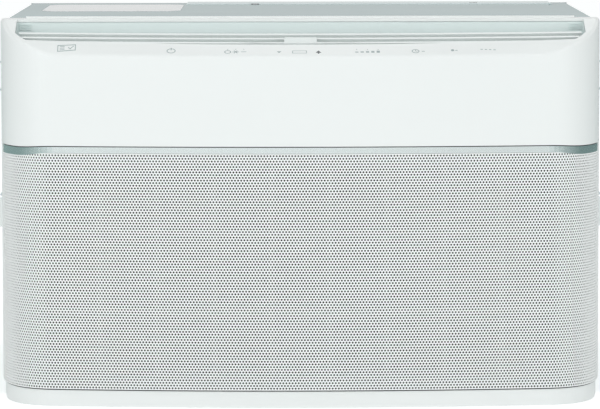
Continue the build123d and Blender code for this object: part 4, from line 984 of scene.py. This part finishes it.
def dot(bm, middle, radius, count, turn=0.0):
    place = Matrix.Translation((*middle, 0)) @ Matrix.Rotation(math.radians(turn), 4, "Z")
    bmesh.ops.create_circle(bm, cap_ends=True, radius=radius, segments=count, matrix=place)


def border(bm, middle, length, width, line):
    for side in (-1, 1):
        bar(bm, (middle[0], middle[1] + side * width / 2), length + line, line)
        bar(bm, (middle[0] + side * length / 2, middle[1]), width - line, line, 90)


# each mark is a list of strokes: what draws it, its middle, and that function's own sizes in order
line = marks["line"]
thin, blade = line * marks["thinShare"], line * marks["bladeShare"]
strokes = {
    "filterReset": [
        (border, (0, 0), 0.0165, 0.0064, line),
        *[(bar, (-0.0042, height), 0.0046, thin) for height in (-0.0017, 0.0, 0.0017)],
        (bar, (0.0026, -0.0006), 0.0030, line, -45), (bar, (0.0050, 0.0003), 0.0044, line, 45),
    ],
    "power": [(ring, (0, 0), 0.0038, line), (bar, (0, 0.0034), line, 0.0044)],
    "fanMode": [
        (ring, (-0.0060, -0.001), 0.0028, line),
        *[(bar, (0.0015, -0.001), 0.0062, blade, turn) for turn in (0, 60, 120)],
        (bar, (0.0090, -0.001), 0.0050, line),
        *[(dot, (x, 0.0044), 0.0005, 12) for x in (-0.006, 0.0015, 0.009)],
    ],
    "lower": [(dot, (0, 0), 0.0024, 3, 180)],
    "window": [(border, (0, 0), 0.0130, 0.0050, thin)],
    "higher": [(dot, (0, 0), 0.0030, 3), (bar, (0, -0.0022), 0.0015, 0.0030)],
    "fanSpeed": [
        *[(bar, (-0.010 + step * 0.005, -0.0015 + step * 0.0003), 0.0030, 0.0016 + step * 0.0006)
          for step in range(5)],
        *[(dot, (x, 0.0044), 0.0005, 12) for x in (-0.010, 0.0, 0.010)],
    ],
    "timer": [
        (ring, (0, 0), 0.0032, line), (bar, (0, 0.0010), thin, 0.0024),
        (bar, (0.0009, 0), 0.0020, thin), (bar, (0.0072, 0), 0.0030, line),
    ],
    "sleep": [(dot, (0, 0), 0.0016, 16), (bar, (0.0036, 0), 0.0022, line)],
    "night": [(bar, (-0.006 + step * 0.004, 0), 0.0022, line) for step in range(4)],
}


def makeMark(name, x, back):
    bm = bmesh.new()
    for draw, middle, *sizes in strokes[name]:
        draw(bm, middle, *sizes)
    bmesh.ops.remove_doubles(bm, verts=bm.verts, dist=marks["weld"])
    bmesh.ops.recalc_face_normals(bm, faces=bm.faces)
    bmesh.ops.solidify(bm, geom=bm.faces[:], thickness=marks["raise"] + marks["sink"])
    for vert in bm.verts:
        lift = marks["raise"] if abs(vert.co.z) < sameHeight else -marks["sink"]
        inkX, inkBack = x + vert.co.x, back + vert.co.y * math.cos(math.radians(slope["angle"]))
        height = slope["edgeHeight"] + slopeRise * inkBack - slopeDrop(inkX, inkBack)
        vert.co = (inkX, front + inkBack, height + lift)
    bmesh.ops.recalc_face_normals(bm, faces=bm.faces)
    finish = marks["finishes"].get(name, "iconInk")
    meshPiece(name + "Mark", bm, finish, "unit", marks["sharp"])


for markName, (markX, markBack) in marks["places"].items():
    makeMark(markName, markX, markBack)
print("touch marks ready")


# small fittings
def block(bm, middle, sizes):
    place = Matrix.Translation(middle) @ Matrix.Diagonal((*sizes, 1))
    bmesh.ops.create_cube(bm, size=1.0, matrix=place)


rib = {
    "length": 0.0110, "height": 0.0007, "depth": 0.0012, "pitch": 0.0017, "count": 4,
    "bottom": 0.3520, "middle": 0.2607, "rear": 0.0775, "round": 0.00015, "sharp": 30.0,
}


def makeDuctRibs():
    # small moulded ribs at both ends of the outlet's rear wall, joined by an upright one
    bm = bmesh.new()
    y = front + rib["rear"] - rib["depth"] / 2
    for side in (-1, 1):
        for step in range(rib["count"]):
            block(bm, (side * rib["middle"], y, rib["bottom"] + step * rib["pitch"]),
                  (rib["length"], rib["depth"], rib["height"]))
        block(bm, (side * (rib["middle"] + rib["length"] / 2), y,
                   rib["bottom"] + (rib["count"] - 1) / 2 * rib["pitch"]),
              (rib["height"], rib["depth"], rib["pitch"] * rib["count"]))
    bmesh.ops.bevel(bm, geom=bm.edges[:], offset=rib["round"], offset_type="OFFSET",
                    affect="EDGES", segments=1, profile=0.5, material=-1)
    meshPiece("ductEndRibs", bm, "ductPlastic", "unit", rib["sharp"])


hood = {
    "backs": (0.341, 0.419), "bottom": 0.096, "pitch": 0.015, "rows": 11, "width": 0.066,
    "above": 0.0042, "below": 0.0030, "out": 0.0036, "endPower": 5, "wall": 0.284, "lift": 0.0002,
    "gauge": 0.0007, "sharp": 40.0,
}


def makeVentHoods(name, side):
    # each slot in the cabinet's sides has a pressed hood that opens downwards
    bm = bmesh.new()
    for back in hood["backs"]:
        for row in range(hood["rows"]):
            made = bmesh.ops.create_grid(bm, x_segments=10, y_segments=4, size=0.5)["verts"]
            top = hood["bottom"] + row * hood["pitch"] + hood["above"]
            for vert in made:
                along, down = vert.co.x * 2, 0.5 - vert.co.y
                ends = 1 - abs(along) ** hood["endPower"]
                out = hood["out"] * math.sin(down * math.pi / 2) * ends
                vert.co = (side * (hood["wall"] + hood["lift"] + out),
                           front + back + along * hood["width"] / 2,
                           top - down * (hood["above"] + hood["below"]))
    bmesh.ops.recalc_face_normals(bm, faces=bm.faces)
    bmesh.ops.solidify(bm, geom=bm.faces[:], thickness=hood["gauge"])
    bmesh.ops.recalc_face_normals(bm, faces=bm.faces)
    meshPiece(name, bm, "cabinetMetal", "unit", hood["sharp"])


condenser = {
    "left": -0.2585, "right": 0.2585, "front": 0.4705, "rear": 0.5135, "bottom": 0.0215,
    "top": 0.3505, "pitch": 0.0027,
}
evaporator = {
    "left": -0.2435, "right": 0.1315, "front": 0.1185, "rear": 0.1435, "bottom": 0.0235,
    "top": 0.2885, "pitch": 0.0024,
}
fin = {
    "gauge": 0.00022, "sharp": 40.0, "seed": 7,
    "bentShare": 0.12, "bent": (0.0002, 0.0009), "straight": 0.0001,
    "middle": (-0.3, 0.3), "spread": (0.05, 0.15),  # of the bend, as shares of the fin's height
}


def makeFins(name, coil):
    # close rows of thin fins, some a little bent
    chance = random.Random(fin["seed"])
    bm = bmesh.new()
    count = int((coil["right"] - coil["left"]) / coil["pitch"])
    for step in range(count + 1):
        x = coil["left"] + step * coil["pitch"]
        made = bmesh.ops.create_grid(bm, x_segments=2, y_segments=6, size=0.5)["verts"]
        isBent = chance.random() < fin["bentShare"]
        bend = chance.uniform(*fin["bent"]) if isBent else fin["straight"]
        middle, spread = chance.uniform(*fin["middle"]), chance.uniform(*fin["spread"])
        for vert in made:
            across, up = vert.co.x, vert.co.y
            push = bend * math.exp(-((up - middle) / spread) ** 2) * abs(across) * 2
            vert.co = (x + push,
                       front + coil["front"] + (across + 0.5) * (coil["rear"] - coil["front"]),
                       coil["bottom"] + (up + 0.5) * (coil["top"] - coil["bottom"]))
    bmesh.ops.solidify(bm, geom=bm.faces[:], thickness=fin["gauge"])
    bmesh.ops.recalc_face_normals(bm, faces=bm.faces)
    meshPiece(name, bm, "coilFins", "unit", fin["sharp"])


def lidPlace(patch):
    # middle of a patch on the lid and its sizes, x and y
    middle = ((patch["left"] + patch["right"]) / 2, front + (patch["near"] + patch["far"]) / 2)
    return middle, (patch["right"] - patch["left"], patch["far"] - patch["near"])


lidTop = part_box("cabinet_lid")[1].z
hem = {
    "left": -0.1180, "right": 0.2640, "near": 0.4700, "far": 0.5262, "gauge": 0.0007,
    "roundShare": 0.45, "sharp": 40.0,
}


def makeLidHem():
    # folded hem along the lid's rear edge, half of its thickness above the lid; its lighter paint
    # is a painted reflection
    middle, sizes = lidPlace(hem)
    bm = bmesh.new()
    block(bm, (*middle, lidTop), (*sizes, hem["gauge"] * 2))
    bmesh.ops.bevel(bm, geom=bm.edges[:], offset=hem["gauge"] * hem["roundShare"],
                    offset_type="OFFSET", affect="EDGES", segments=2, profile=0.5, material=-1)
    evenNormals(meshPiece("lidHem", bm, "hemReflectionPaint", "unit", hem["sharp"]))


# patch on the lid, a painted reflection: its place, corners and thickness
label = {
    "left": -0.2590, "right": -0.1200, "near": 0.2900, "far": 0.4600, "corner": 0.020,
    "lift": 0.00005, "gauge": 0.0003, "sharp": 40.0,
}


def makeLidReflectionPatch():
    # pale patch at the left of the lid, a painted reflection laid on as a thin film
    middle, sizes = lidPlace(label)
    bm = bmesh.new()
    place = Matrix.Translation((*middle, lidTop + label["lift"])) @ Matrix.Diagonal((*sizes, 1, 1))
    bmesh.ops.create_grid(bm, x_segments=1, y_segments=1, size=0.5, matrix=place)
    bmesh.ops.bevel(bm, geom=bm.verts[:], offset=label["corner"], offset_type="OFFSET",
                    affect="VERTICES", segments=6, profile=0.5, material=-1)
    bmesh.ops.solidify(bm, geom=bm.faces[:], thickness=-label["gauge"])
    bmesh.ops.recalc_face_normals(bm, faces=bm.faces)
    meshPiece("lidReflectionPatch", bm, "reflectionPatchFilm", "unit", label["sharp"])


makeDuctRibs()
makeVentHoods("ventHoodsLeft", -1)
makeVentHoods("ventHoodsRight", 1)
makeLidHem()
makeLidReflectionPatch()
makeFins("condenserFins", condenser)
makeFins("evaporatorFins", evaporator)
print("fittings ready")

print("pieces ready")
